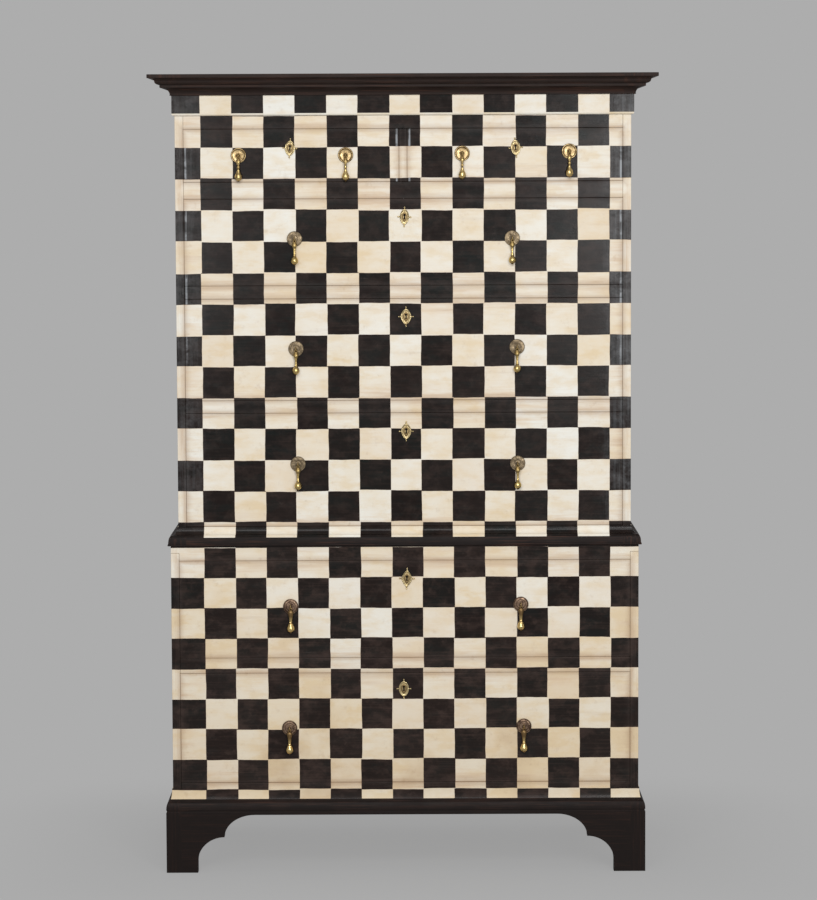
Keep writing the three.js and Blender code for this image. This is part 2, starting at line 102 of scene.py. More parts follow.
# Cornice and frieze, measured outwards from the upper chest's face
FRIEZE_TOP = 1683.9 * MM
FRIEZE_PROUD = 6 * MM
FRIEZE_EDGE = 3.5 * MM
FRIEZE_ROUND = 5 * MM
CORONA_HEIGHT = 8 * MM
CORONA_UNDERSIDE = 5 * MM
OGEE_DROP = 14 * MM
OGEE_RUN = 20.5 * MM
CORNICE_FILLET = 6 * MM
FILLET_STEP = 2 * MM
CAVETTO_END = 3 * MM
ASTRAGAL = 1.5 * MM
CORNICE_WANDER = 0.35 * MM
FRIEZE_WANDER = 0.2 * MM

# Waist moulding
WAIST_LIP = 2.5 * MM
WAIST_LIP_HEIGHT = 2 * MM
WAIST_COVE_RUN = 12.5 * MM
WAIST_FILLET = 2.5 * MM
WAIST_STEP = 1.5 * MM
WAIST_OVOLO = 16.5 * MM
WAIST_NOSING_HEIGHT = 4 * MM
WAIST_WANDER = 0.35 * MM

# Bracket base
PLINTH_THICKNESS = 22 * MM
BASE_LIP = 2 * MM
BASE_COVE_RUN = 5 * MM
BASE_COVE_HEIGHT = 25 * MM
BASE_FILLET = 3 * MM
BASE_STEP = 1.5 * MM
BASE_OVOLO = 15.5 * MM
BASE_BAND = 3 * MM
BASE_GROOVE = 5 * MM
BASE_GROOVE_DEPTH = 1.5 * MM
FOOT_WIDTH = 68.5 * MM
FOOT_STRAIGHT = 25 * MM
CUSP_REACH = 58 * MM
CUSP_RISE = 53 * MM
ARCH_REACH = 65.5 * MM
ARCH_RISE = 48.8 * MM
BASE_WANDER = 0.3 * MM
GLUE_BLOCK = 40 * MM
BLOCK_CLEAR = 0.5 * MM
BACK_RAIL = 20 * MM

# Drawers
FACE_ROUND = 0.8 * MM
EDGE_ROUND = 0.5 * MM
OPENING_REVEAL = 0.7 * MM
PAINT_BUILD = 0.35 * MM
DRAWER_WALL = 10 * MM
DRAWER_RISE = 8 * MM
DRAWER_BOTTOM_TOP = 15 * MM
TAIL_LENGTH = 14 * MM
TAIL_SHORT = 0.2 * MM
TAIL_SHARE = 0.31
TAIL_SLOPE = 0.15
TAILS_FROM = 4 * MM
TAILS_BELOW_TOP = 3 * MM
SOCKET_SLACK = 0.12 * MM
SOCKET_OPEN = 1.2 * MM
SIDE_TONE = 0.7

# Locks, keyholes and escutcheons
LOCK_WIDTH = 62 * MM
LOCK_HEIGHT = 52 * MM
LOCK_DEPTH = 12 * MM
LOCK_LIP = 4 * MM
LOCK_SLACK = 0.2 * MM
SELVEDGE = 1.2 * MM
SCREWS_IN = 5 * MM
SCREWS_DOWN = 7 * MM
KEY_ROUND = 2.5 * MM
KEY_SLOT = 1.6 * MM
KEY_DROP = 9.5 * MM
KEY_ABOVE = 4 * MM
KEY_MIDDLE = 0.35
PLATE_STEPS = 64
PIN_SHARE = 0.33
END_BALL = 1.8 * MM
END_BALL_OUT = 4.4 * MM
END_BALL_OVERLAP = 1 * MM
END_BALL_PROUD = 1.1 * MM
# The lock's case, selvedge, cap and bolt: half of the width, depths and heights, measured from the top edge
# of the drawer front at its back
LOCK_BOXES = [
    (LOCK_WIDTH / 2, (-LOCK_DEPTH, 0.6 * MM), (-LOCK_HEIGHT, -SELVEDGE)),
    (LOCK_WIDTH / 2 + LOCK_LIP, (CLEAR - LOCK_DEPTH - LOCK_LIP / 2, 0), (-SELVEDGE, -CLEAR)),
    (LOCK_WIDTH * 0.31, (0.4 * MM, 2.4 * MM), (5 * MM - LOCK_HEIGHT, -6 * MM)),
    (7 * MM, (1 * MM - LOCK_DEPTH, -3 * MM), (-4 * MM, 0.2 * MM)),
]
# Turned outlines in millimetres, outwards and along: screw head, pin head, and the collar under a ball end
SCREW_HEAD = [(0, 0), (2.6, 0), (2.4, 0.5), (1.2, 0.9), (0, 1)]
PIN_HEAD = [(0, 0.4), (1, 0.4), (0.95, 1.5), (0.5, 1.9), (0, 2)]
BALL_COLLAR = [(0, 0), (1.8, 0), (1.7, 1.2), (1.1, 2), (0.9, 2.5)]
# Section of an escutcheon: share of the way from the keyhole to the edge, and rise in millimetres
ESCUTCHEON_PROFILE = [
    (0, 0.2), (0, 1.2), (0.08, 1.5), (0.2, 1.4), (0.34, 1.0), (0.5, 0.8), (0.62, 0.85), (0.7, 1.3),
    (0.77, 2.05), (0.85, 2.4), (0.93, 2.1), (0.98, 1.5), (1, 0.8), (1, 0), (0.5, 0),
]

# Pulls
ROSE_RADIUS = 16.5 * MM
ROSE_RIM = 3.4 * MM
ROSE_SIDES = 72
# Flutes and scallops on a rose: number, depth, and the middle and half the width of their band, as shares
FLUTES = (20, 0.22 * MM, 0.66, 0.2)
SCALLOPS = (14, 0.3 * MM, 0.75, 0.1)
LOOP_RADIUS = 5 * MM
WIRE_RADIUS = 0.9 * MM
LEG_TURN = 0.032
LEG_LENGTH = 13 * MM
LEG_BEND = 1.6 * MM
DROP_LENGTH = 52 * MM
BALL_RADIUS = 8 * MM
EYE_HOLE = 1.7 * MM
EYE_RADIUS = 3.6 * MM
EYE_THICKNESS = 2.4 * MM
EYE_HANG = 0.3 * MM
EYE_ROUND = 0.5 * MM
# The drop's neck is flattened like its eye, down to this share of its length
EYE_FLAT = 0.5
FLAT_END = 0.42
# Turned outlines of the roses: shares of the radius and of the rim's height
ROSE_SHARES = {
    "bright": [
        (0, 0), (1, 0), (1, 0.35), (0.985, 0.7), (0.95, 0.95), (0.9, 1.0), (0.86, 0.92), (0.83, 0.74),
        (0.78, 0.6), (0.7, 0.5), (0.55, 0.36), (0.4, 0.3), (0.3, 0.3), (0.24, 0.42), (0.2, 0.7),
    ],
    "aged": [
        (0, 0), (1, 0), (1, 0.45), (0.98, 0.62), (0.94, 0.66), (0.91, 0.58), (0.88, 0.6), (0.8, 0.66),
        (0.7, 0.7), (0.6, 0.72), (0.5, 0.7), (0.42, 0.62), (0.38, 0.6), (0.3, 0.66), (0.22, 0.8),
    ],
    "dark": [
        (0, 0), (1, 0), (1, 0.5), (0.985, 0.72), (0.95, 0.8), (0.91, 0.72), (0.89, 0.56), (0.86, 0.62),
        (0.76, 0.74), (0.66, 0.8), (0.6, 0.66), (0.56, 0.78), (0.46, 0.84), (0.36, 0.74), (0.24, 0.86),
    ],
}
ROSE_BOSS = [(0.17, 0.94), (0.12, 0.96), (0.1, 0.86), (0, 0.86)]
# Turned outlines of the drops, from the eye down: shares of the drop's length and of the ball's radius
DROP_SHARES = {
    "bright": [
        (0.055, 0.44), (0.12, 0.56), (0.19, 0.52), (0.27, 0.36), (0.33, 0.29), (0.36, 0.36), (0.4, 0.41),
        (0.44, 0.34), (0.47, 0.28), (0.55, 0.42), (0.63, 0.62), (0.7, 0.84), (0.76, 0.97), (0.81, 1),
        (0.87, 0.9), (0.92, 0.66), (0.95, 0.36), (0.975, 0.26), (1, 0),
    ],
    "aged": [
        (0.055, 0.46), (0.11, 0.64), (0.17, 0.68), (0.23, 0.6), (0.29, 0.42), (0.34, 0.36), (0.42, 0.3),
        (0.5, 0.3), (0.56, 0.36), (0.61, 0.42), (0.65, 0.5), (0.7, 0.74), (0.76, 0.93), (0.81, 1),
        (0.87, 0.93), (0.92, 0.7), (0.95, 0.38), (0.975, 0.26), (1, 0),
    ],
    "dark": [
        (0.055, 0.46), (0.09, 0.7), (0.14, 0.76), (0.22, 0.66), (0.34, 0.5), (0.44, 0.4), (0.52, 0.36),
        (0.57, 0.42), (0.62, 0.6), (0.67, 0.7), (0.72, 0.86), (0.78, 0.98), (0.83, 1), (0.88, 0.9),
        (0.93, 0.64), (0.955, 0.36), (0.98, 0.26), (1, 0),
    ],
}

# The painted check: pitch of its columns and rows, and the levels where its rows start
COLUMN = 67.6 * MM
COLUMNS_RIGHT_UPPER = 4.2 * MM
COLUMNS_RIGHT_LOWER = 6 * MM
UPPER_ROW = 67.45 * MM
LOWER_ROW = 66.2 * MM
UPPER_ROW_TOP = 1640.7 * MM
LOWER_ROW_TOP = 710.3 * MM
LOWER_ROW_OFFSET = 100
CORNER = 7.5 * COLUMN
FRONT_REACH = CORNER - 4 * MM
WHITE_STRIP_TOP = 1645.7 * MM
PARTING_OVERLAP = 4 * MM
BRUSH_WANDER = 4 * MM
RULED_WANDER = 1.6 * MM
WAIST_BLACK_TOP = 732.3 * MM
WAIST_TOP = 753.8 * MM
WAIST_BLACK_FOOT = 710.5 * MM
BASE_BLACK_TOP = 160.5 * MM
PAINT_WRAP = 2.5 * MM
PAINT_FRAY = 2 * MM
CORNER_WRAP = 4 * MM

# Dirt and painted shade spread from a gap this far, and up to this much further
DIRT_AND_SHADE_REACH = (4 * MM, 26 * MM)
# Wear, dirt and painted light on the paint, and the levels over which it grows darker towards the floor.
# Painted shade lies along the seams, a painted sheen on the corner posts and a painted highlight inside the
# ends of the upper drawers. A pair is where a mark ends and where it is at its strongest
SEAM_REACH = (3 * MM, 0.6 * MM)
RAIL_REACH = (45 * MM, 8 * MM)
FOOT_LEVELS = (750 * MM, 120 * MM)
PLINTH_LEVELS = (160 * MM, 120 * MM)
PLINTH_GRAIN = (120 * MM, 200 * MM)
POST_ACROSS = (415 * MM, 470 * MM)
POST_LEVELS = (755 * MM, 775 * MM)
POST_DEPTHS = (100 * MM, 20 * MM)
END_HIGHLIGHT_INSET = 4.5 * MM
HIGHLIGHT_HALF_WIDTH = (3 * MM, 0.8 * MM)
HIGHLIGHT_LEVELS = (1000 * MM, 1250 * MM)
EDGE_WEAR = (1.4 * MM, 0.2 * MM)
SQUARE_EDGE = (-0.1 * MM, 0.35 * MM)
FRINGE = (1.1 * MM, 0.2 * MM)
PAINT_SPECULAR = 0.14


def srgb(red, green, blue):
    """A colour as it looks on a screen, 0 to 255, in the linear values that shaders use."""
    shares = [channel / 255 for channel in (red, green, blue)]
    linear = [share / 12.92 if share <= 0.04045 else ((share + 0.055) / 1.055) ** 2.4 for share in shares]
    return (*linear, 1)


CREAM = srgb(229, 221, 206)
CREAM_PALE = srgb(231, 229, 221)
CREAM_WARM = srgb(221, 202, 170)
CREAM_PINK = srgb(216, 194, 168)
# Brown of cracks, stains and dirt, and of the painted shade along the gaps
CREAM_GRIME_AND_SHADE = srgb(158, 126, 96)
BLACK = srgb(25, 18, 16)
BLACK_COOL = srgb(21, 24, 23)
BLACK_WORN = srgb(64, 51, 46)
# Pale grey of the bloom and painted sheen on the corner posts
BLACK_BLOOM_SHEEN = srgb(94, 96, 98)
# Pale grey of the painted highlight, drawn as scuffs, inside the ends of the upper drawer fronts
BLACK_SCUFF_HIGHLIGHT = srgb(170, 174, 178)
MOULDING_BLACK = srgb(24, 17, 15)
CORNICE_BLACK = srgb(43, 32, 28)
MOULDING_WORN = srgb(82, 52, 40)
PAINT_EDGE = srgb(96, 70, 58)
WOOD_PALE = srgb(170, 138, 100)
WOOD_DARK = srgb(108, 80, 54)
WOOD_STAIN = srgb(80, 61, 46)
WOOD_GREY = srgb(118, 102, 84)
IRON_DARK = srgb(52, 47, 44)
IRON_RUST = srgb(92, 62, 44)
BACKDROP = srgb(173, 173, 173)
WHITE = srgb(255, 255, 255)
BRASS_GOLD = srgb(220, 192, 130)
BRASS_WARM = srgb(206, 180, 118)
BRASS_ROSE = srgb(200, 174, 128)
BRASS_PLATE = srgb(218, 198, 150)
BRASS_OLIVE = srgb(100, 78, 48)
BRASS_UMBER = srgb(104, 80, 54)
BRASS_GREY = srgb(139, 123, 99)
BRASS_GREY_DARK = srgb(92, 80, 64)
BRASS_BROWN = srgb(144, 120, 100)
BRASS_BROWN_DARK = srgb(66, 50, 42)


class Value:
    """A shader socket that can stand in a sum."""

    def __init__(self, finish, socket):
        self.finish = finish
        self.socket = socket

    def maths(self, operation, *others):
        return self.finish.node("ShaderNodeMath", {"operation": operation}, dict(enumerate(others)))

    def __add__(self, other):
        return self.maths("ADD", self, other)

    def __sub__(self, other):
        return self.maths("SUBTRACT", self, other)

    def __rsub__(self, other):
        return self.maths("SUBTRACT", other, self)

    def __mul__(self, other):
        return self.maths("MULTIPLY", self, other)

    def __truediv__(self, other):
        return self.maths("DIVIDE", self, other)

    def __pow__(self, other):
        return self.maths("POWER", self, other)

    def __abs__(self):
        return self.maths("ABSOLUTE", self)

    def __gt__(self, other):
        return self.maths("GREATER_THAN", self, other)

    def __lt__(self, other):
        return self.maths("LESS_THAN", self, other)

    def __mod__(self, other):
        return self.maths("FLOORED_MODULO", self, other)

    __radd__ = __add__
    __rmul__ = __mul__

    def floor(self):
        return self.maths("FLOOR", self)

    def nearest(self):
        return self.maths("ROUND", self)

    def sign(self):
        return self.maths("SIGN", self)

    def sine(self):
        return self.maths("SINE", self)

    def least(self, other):
        return self.maths("MINIMUM", self, other)

    def most(self, other):
        return self.maths("MAXIMUM", self, other)

    def ramp(self, low, high):
        """0 below low, 1 above high and smooth between. low may be above high."""
        return self.finish.node(
            "ShaderNodeMapRange",
            {"interpolation_type": "SMOOTHSTEP"},
            {"Value": self, "From Min": low, "From Max": high},
        )


class Finish:
    """A material, or the world, that is being put together from nodes."""

    def __init__(self, name, world=None):
        self.material = world or bpy.data.materials.new(name)
        self.material.use_nodes = True
        self.tree = self.material.node_tree
        self.tree.nodes.clear()
        self.place = self.node("ShaderNodeTexCoord", out="Object")

    def node(self, kind, settings=None, values=None, out=0):
        made = self.tree.nodes.new(kind)
        for name, setting in (settings or {}).items():
            setattr(made, name, setting)
        for name, value in (values or {}).items():
            if isinstance(value, Value):
                self.tree.links.new(value.socket, made.inputs[name])
            else:
                made.inputs[name].default_value = value
        return Value(self, made.outputs[out])

    def split(self, vector):
        """The three numbers of a place or colour."""
        first = self.node("ShaderNodeSeparateXYZ", values={0: vector})
        return [Value(self, socket) for socket in first.socket.node.outputs]

    def scaled(self, x, y, z, place=None):
        """The place, stretched by a number along each axis."""
        settings = {"operation": "MULTIPLY"}
        return self.node("ShaderNodeVectorMath", settings, {0: place or self.place, 1: (x, y, z)})

    def point(self, x, y, z=0):
        return self.node("ShaderNodeCombineXYZ", values={0: x, 1: y, 2: z})

    def mottle(self, place, scale, detail=2, roughness=0.5, out=0):
        """Soft noise between 0 and 1, mostly near a half."""
        values = {"Vector": place, "Scale": scale, "Detail": detail, "Roughness": roughness}
        return self.node("ShaderNodeTexNoise", None, values, out)

    def chance(self, x, y, z=0):
        """Three numbers between 0 and 1 that stay the same for one cell."""
        return self.split(self.node("ShaderNodeTexWhiteNoise", values={"Vector": self.point(x, y, z)}, out=1))

    def mix(self, share, under, over, blend="MIX"):
        """One colour laid over another."""
        settings = {"data_type": "RGBA", "blend_type": blend}
        return self.node("ShaderNodeMix", settings, {0: share, 6: under, 7: over}, out=2)

    def bump(self, height, distance, strength=1.0):
        values = {"Height": height, "Distance": distance, "Strength": strength}
        return self.node("ShaderNodeBump", None, values)

    def surface(self, colour, roughness, normal=None, metallic=0.0, **constants):
        """Joins the colour and the rest to the surface. Constants are set on the shader's own sockets."""
        values = {"Base Color": colour, "Roughness": roughness, "Metallic": metallic}
        if normal:
            values["Normal"] = normal
        values.update({name.replace("_", " "): value for name, value in constants.items()})
        return self.end(self.node("ShaderNodeBsdfPrincipled", None, values))

    def end(self, shader, kind="ShaderNodeOutputMaterial"):
        made = self.tree.nodes.new(kind)
        self.tree.links.new(shader.socket, made.inputs["Surface"])
        return self.material

    def sees_backdrop(self):
        """1 for the camera's own rays, and for those by which metal and glass show what is behind them."""
        rays = ("Camera", "Glossy", "Transmission")
        seen, gloss, clear = (self.node("ShaderNodeLightPath", out=f"Is {ray} Ray") for ray in rays)
        return (seen + gloss + clear).least(1)

    def share(self):
        """The number that keep_share stored on the mesh."""
        return self.node("ShaderNodeAttribute", {"attribute_name": "share"}, out="Fac")


def wood_colour(finish, along):
    """Old bare wood with its grain along one axis, as a colour and a height for its relief."""
    reach = {"x": (3, 26, 26), "y": (26, 3, 26), "z": (26, 26, 3)}[along]
    fine = {"x": (18, 420, 420), "y": (420, 18, 420), "z": (420, 420, 18)}[along]
    figure = finish.mottle(finish.scaled(*reach), 1, 4, 0.6)
    bands = (figure * 46).sine() * 0.5 + 0.5
    pores = finish.mottle(finish.scaled(*fine), 1, 3, 0.7)
    patches = finish.mottle(finish.place, 5, 3, 0.6)
    dark = bands * 0.45 + pores.ramp(0.4, 0.7) * 0.35 + patches.ramp(0.35, 0.75) * 0.3
    colour = finish.mix(dark, WOOD_PALE, WOOD_DARK)
    stains = finish.mottle(finish.place, 11, 5, 0.65).ramp(0.58, 0.8)
    colour = finish.mix(stains * 0.4, colour, WOOD_STAIN)
    return colour, bands * 0.3 + pores * 0.7


def opening_distance(x, z):
    """Distance on the front from the nearest drawer's edge."""
    nearest = None
    for name in DRAWERS:
        if name.endswith("_left"):
            continue
        low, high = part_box(name + "_front")
        middle = (low + high) / 2
        size = (high - low) / 2 + Vector((OPENING_REVEAL, 0, OPENING_REVEAL)) / 2
        across = abs(abs(x) - middle.x) if name.endswith("_right") else abs(x)
        distance = abs((across - size.x).most(abs(z - middle.z) - size.z))
        nearest = nearest.least(distance) if nearest else distance
    return nearest


def case_place(finish):
    """Where a point of the case lies: on the upper chest or not, on a side or not, and how far from them."""
    x, y, z = finish.split(finish.place)
    upper = z > PARTING - PARTING_OVERLAP
    front = LOWER_FRONT + upper * (UPPER_FRONT - LOWER_FRONT)
    half = LOWER_HALF + upper * (UPPER_HALF - LOWER_HALF)
    outside = abs(x) - half
    forward = front - y
    on_side = outside > forward + CORNER_WRAP
    return SimpleNamespace(
        x=x, y=y, z=z, upper=upper, front=front, outside=outside, forward=forward, on_side=on_side
    )


def check_squares(finish, at):
    """The hand-ruled check: where it is black, how far away an edge is, and three chances for each square."""
    shifted = at.x - COLUMNS_RIGHT_LOWER - at.upper * (COLUMNS_RIGHT_UPPER - COLUMNS_RIGHT_LOWER)
    shifted = shifted.most(-FRONT_REACH).least(FRONT_REACH)
    side_across = at.x.sign() * (CORNER + at.y - at.front)
    across = shifted + at.on_side * (side_across - shifted)

    # The brush wandered a little, and each stretch of edge was ruled by itself
    wander_x, wander_z, _ = finish.split(finish.mottle(finish.place, 14, 3, 0.6, out="Color"))
    u = (across + (wander_x - 0.5) * BRUSH_WANDER) / COLUMN + 0.5
    row_up = (UPPER_ROW_TOP - at.z) / UPPER_ROW
    row_low = (LOWER_ROW_TOP - at.z) / LOWER_ROW + LOWER_ROW_OFFSET
    v = row_low + at.upper * (row_up - row_low) + (wander_z - 0.5) * BRUSH_WANDER / UPPER_ROW
    ruled = RULED_WANDER / COLUMN
    u = u + (finish.chance(u.nearest(), v.floor(), 1)[0] - 0.5) * (2 * ruled)
    v = v + (finish.chance(u.floor(), v.nearest(), 2)[0] - 0.5) * (2 * ruled)
    column = u.floor()
    row = v.floor()
    black = 1 - (column + row) % 2
    edge = (abs(u - u.nearest()) * COLUMN).least(abs(v - v.nearest()) * UPPER_ROW)

    # A white strip runs under the frieze, and the mouldings are black
    strip = (at.z > UPPER_ROW_TOP) * (at.z < WHITE_STRIP_TOP)
    waist_top = WAIST_BLACK_TOP + at.on_side * (WAIST_TOP - WAIST_BLACK_TOP)
    waist = (at.z > WAIST_BLACK_FOOT) * (at.z < waist_top)
    moulding = (at.z > FRIEZE_TOP).most(waist).most(at.z < BASE_BLACK_TOP)
    black = (black * (1 - strip)).most(moulding)
    edge = edge.most(moulding).most(strip)
    return SimpleNamespace(black=black, edge=edge, moulding=moulding, chances=finish.chance(column, row, 3))


def brush_marks(finish, at):
    """Streaks and bands along the grain, which stands upright on the sides, and marks of several sizes."""
    upright = at.on_side.most(at.outside > -SIDE_BOARD)

    def along_grain(flat, up, detail, roughness):
        lying = finish.mottle(finish.scaled(*flat), 1, detail, roughness)
        standing = finish.mottle(finish.scaled(*up), 1, detail, roughness)
        return lying + upright * (standing - lying)

    return SimpleNamespace(
        streak=along_grain((9, 60, 330), (330, 330, 9), 5, 0.65),
        broad=along_grain((5, 20, 60), (60, 60, 5), 4, 0.6),
        patch=finish.mottle(finish.place, 7, 4, 0.6),
        fine=finish.mottle(finish.place, 60, 4, 0.7),
        cloud=finish.mottle(finish.scaled(17, 26, 42), 1, 5, 0.62),
        smear=finish.mottle(finish.scaled(26, 26, 44), 1, 4, 0.62),
        scuffs=finish.mottle(finish.scaled(120, 120, 5), 1, 4, 0.65),
    )


def dirt_and_shade(at, marks, gaps):
    """Dirt and painted shade along the gaps round the drawers, the rubbed rails between them, and a colour
    that grows darker and warmer towards the floor.
    """
    # Darker and warmer towards the floor
    foot = at.z.ramp(*FOOT_LEVELS)
    if not gaps:
        none = marks.streak * 0
        return SimpleNamespace(foot=foot, gap=none, seam=none, rail=none)
    distance = opening_distance(at.x, at.z)
    reach = DIRT_AND_SHADE_REACH[0] + marks.broad * DIRT_AND_SHADE_REACH[1]
    # Near each gap the paint darkens with dirt and painted shade, and a thin seam of painted shade and dirt
    # runs right along it
    return SimpleNamespace(
        foot=foot,
        gap=(1 - (distance / reach).least(1)) ** 2,
        seam=distance.ramp(*SEAM_REACH) * (0.1 + marks.broad * 0.2 + foot * 0.5),
        rail=distance.ramp(*RAIL_REACH),
    )


def cream_paint(finish, squares, marks, soil_and_shade):
    """Cloudy cream: some squares are paler and some yellower, and it is rubbed pink along the rails.
    Also gives the cracks in it."""
    streak, broad, patch, fine, cloud = marks.streak, marks.broad, marks.patch, marks.fine, marks.cloud
    warmer, paler, pinker = squares.chances
    pale = paler.ramp(0.3, 0.9) * 0.7 + cloud.ramp(0.52, 0.34) * 0.5
    cream = finish.mix(pale.least(1), CREAM, CREAM_PALE)
    warm = warmer.ramp(0.4, 1) * 0.4 + patch.ramp(0.42, 0.7) * 0.42 + cloud.ramp(0.46, 0.66) * 0.42
    # Warmer towards the floor
    warm = warm + soil_and_shade.foot * 0.45
    cream = finish.mix(warm.least(1), cream, CREAM_WARM)
    rubbed = soil_and_shade.rail * (broad.ramp(0.46, 0.66) * 0.55 + streak.ramp(0.48, 0.66) * 0.3)
    rubbed = rubbed + pinker.ramp(0.6, 1) * 0.2
    cream = finish.mix(rubbed.least(0.8), cream, CREAM_PINK)
    # Darker towards the floor
    cream = finish.mix(streak.ramp(0.48, 0.7) * 0.05 + soil_and_shade.foot * 0.16, cream, CREAM_WARM, "MULTIPLY")
    # Stains, dirt and painted shade along the gaps, and darker patches towards the floor
    stains = broad.ramp(0.58, 0.78) * 0.18 + fine.ramp(0.56, 0.76) * 0.18
    soiled_and_shaded = soil_and_shade.gap * 0.5 + stains + soil_and_shade.foot * patch.ramp(0.5, 0.8) * 0.34
    cream = finish.mix(soiled_and_shaded.most(soil_and_shade.seam).least(0.85), cream, CREAM_GRIME_AND_SHADE)
    cracks = streak.ramp(0.67, 0.72) * broad.ramp(0.5, 0.62) * (0.3 + soil_and_shade.rail * 0.7)
    return finish.mix(cracks * 0.4, cream, CREAM_GRIME_AND_SHADE), cracks


def black_paint(finish, at, squares, marks, soil_and_shade):
    """Black, worn brown in places. Above the waist the corner posts carry pale upright streaks: bloom on the
    paint, and a painted sheen in place of the side lamps' reflection.
    Also gives how much a point belongs to a post."""
    streak, broad, fine, cloud = marks.streak, marks.broad, marks.fine, marks.cloud
    smear, scuffs, moulding = marks.smear, marks.scuffs, squares.moulding
    _, cooler, more_worn = squares.chances
    cool = (cooler ** 2) * 0.5 + cloud.ramp(0.45, 0.62) * 0.6
    dark = finish.mix(cool.least(1), BLACK, BLACK_COOL)
    worn = fine.ramp(0.5, 0.74) * 0.3 + streak.ramp(0.48, 0.7) * 0.32 + smear.ramp(0.44, 0.66) * 0.42
    worn = worn + more_worn * 0.12 + squares.edge.ramp(*EDGE_WEAR) * 0.35 + soil_and_shade.foot * 0.12
    # The upper chest's black gets less worn brown: painted shade that offsets the lamps' sheen on it
    worn = (worn + soil_and_shade.gap * 0.25).least(0.8) * (1 - at.upper * 0.4)
    dark = finish.mix(worn, dark, BLACK_WORN)
    # Painted sheen: pale upright streaks on the corner posts above the waist, like bloomed paint, stand in
    # for the side lamps' reflection and are stronger on the right
    post = abs(at.x).ramp(*POST_ACROSS) * at.z.ramp(*POST_LEVELS) * (1 - moulding)
    post = post * (at.y - at.front).ramp(*POST_DEPTHS)
    bloom_sheen = scuffs.ramp(0.42, 0.62) * 0.28 + smear.ramp(0.42, 0.6) * 0.24 + fine.ramp(0.48, 0.68) * 0.3
    bloom_sheen = post * bloom_sheen * (0.8 + at.x.sign() * 0.22)
    dark = finish.mix(bloom_sheen, dark, BLACK_BLOOM_SHEEN)

    # A painted highlight, drawn as pale scuffs on the black paint, runs just inside the ends of the upper
    # drawer fronts, where their rounded edges catch the light
    short_low, short_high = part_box("short_drawer_right_front")
    from_end = (-SIDE_BOARD - at.outside).least(abs(at.x) - short_low.x + (at.z < short_low.z))
    handled_highlight = abs(from_end - END_HIGHLIGHT_INSET).ramp(*HIGHLIGHT_HALF_WIDTH) * at.z.ramp(*HIGHLIGHT_LEVELS) * (at.z < short_high.z)
    handled_highlight = handled_highlight * (scuffs.ramp(0.42, 0.6) * 0.45 + smear.ramp(0.44, 0.62) * 0.5)
    dark = finish.mix(handled_highlight.least(0.65), dark, BLACK_SCUFF_HIGHLIGHT)

    # The mouldings are browner, and their wood shows through along the grain
    moulded = finish.mix(at.z > FRIEZE_TOP, MOULDING_BLACK, CORNICE_BLACK)
    dark = finish.mix(moulding * (0.75 + at.z.ramp(*PLINTH_LEVELS) * 0.22), dark, moulded)
    grain = streak.ramp(0.52, 0.68) * 0.45 + broad.ramp(0.52, 0.7) * 0.2
    grain = grain * (0.3 + at.z.ramp(*PLINTH_GRAIN) * 0.7)
    return finish.mix(moulding * grain, dark, MOULDING_WORN), post


def painted(name, along="x", bare=True, gaps=True):
    """The hand-painted check in cream and black, over bare wood that shows where no paint reaches."""
    finish = Finish(name)
    at = case_place(finish)
    squares = check_squares(finish, at)
    marks = brush_marks(finish, at)
    soil_and_shade = dirt_and_shade(at, marks, gaps)
    cream, cracks = cream_paint(finish, squares, marks, soil_and_shade)
    dark, post = black_paint(finish, at, squares, marks, soil_and_shade)

    soft_black = squares.black * squares.edge.ramp(*SQUARE_EDGE)
    colour = finish.mix(soft_black, cream, dark)
    fringe = squares.black * squares.edge.ramp(*FRINGE)
    colour = finish.mix(fringe * 0.6, colour, PAINT_EDGE)

    height = marks.streak * 0.3 + marks.broad * 0.3 + marks.cloud * 0.4 + marks.fine * 0.4
    height = height + soft_black * 0.5 - cracks * 0.6 + post * marks.scuffs * 0.8
    roughness = 0.44 - squares.black * 0.22 + (squares.chances[2] - 0.5) * 0.06
    roughness = roughness + (marks.fine - 0.5) * 0.16 + soil_and_shade.gap * 0.15 + squares.moulding * 0.36
    if bare:
        wood, relief = wood_colour(finish, along)
        paint = (at.forward + (marks.fine - 0.5) * PAINT_FRAY).most(at.outside) > -PAINT_WRAP
        colour = finish.mix(paint, wood, colour)
        height = relief + paint * (height - relief)
        roughness = 0.8 + paint * (roughness - 0.8)
    normal = finish.bump(height, 0.35 * MM, 0.6)
    return finish.surface(colour, roughness, normal, Specular_IOR_Level=PAINT_SPECULAR)


def bare_wood(name, along):
    """Unpainted wood inside the chest. Each board of a panel has its own tone."""
    finish = Finish(name)
    colour, relief = wood_colour(finish, along)
    colour = finish.mix(finish.share() * 0.6, colour, WOOD_GREY)
    return finish.surface(colour, relief * 0.2 + 0.65, finish.bump(relief, 0.5 * MM, 0.6))


def brass(name, bright, dull, wear, roughness, rings=()):
    """Old brass: bright where hands touch it and dull in its hollows. Each ring of tarnish, patina and in
    places painted shade, has a middle and a half width, as shares of the way across a plate or down a drop,
    and a strength."""
    finish = Finish(name)
    patch = finish.mottle(finish.place, 110, 4, 0.6)
    fine = finish.mottle(finish.place, 900, 3, 0.6)
    tarnish_and_shade = (patch * 0.7 + fine * 0.3).ramp(wear - 0.12, wear + 0.12)
    wavering = finish.share() + (patch - 0.5) * 0.08
    for middle, half, strength in rings:
        tarnish_and_shade = tarnish_and_shade.most(abs(wavering - middle).ramp(half, half * 0.35) * strength)
    colour = finish.mix(tarnish_and_shade, bright, dull)
    sheen = tarnish_and_shade * 0.25 + fine * 0.1 + roughness
    return finish.surface(colour, sheen, finish.bump(patch * 0.5 + fine * 0.5, 0.15 * MM, 0.5), metallic=1.0)


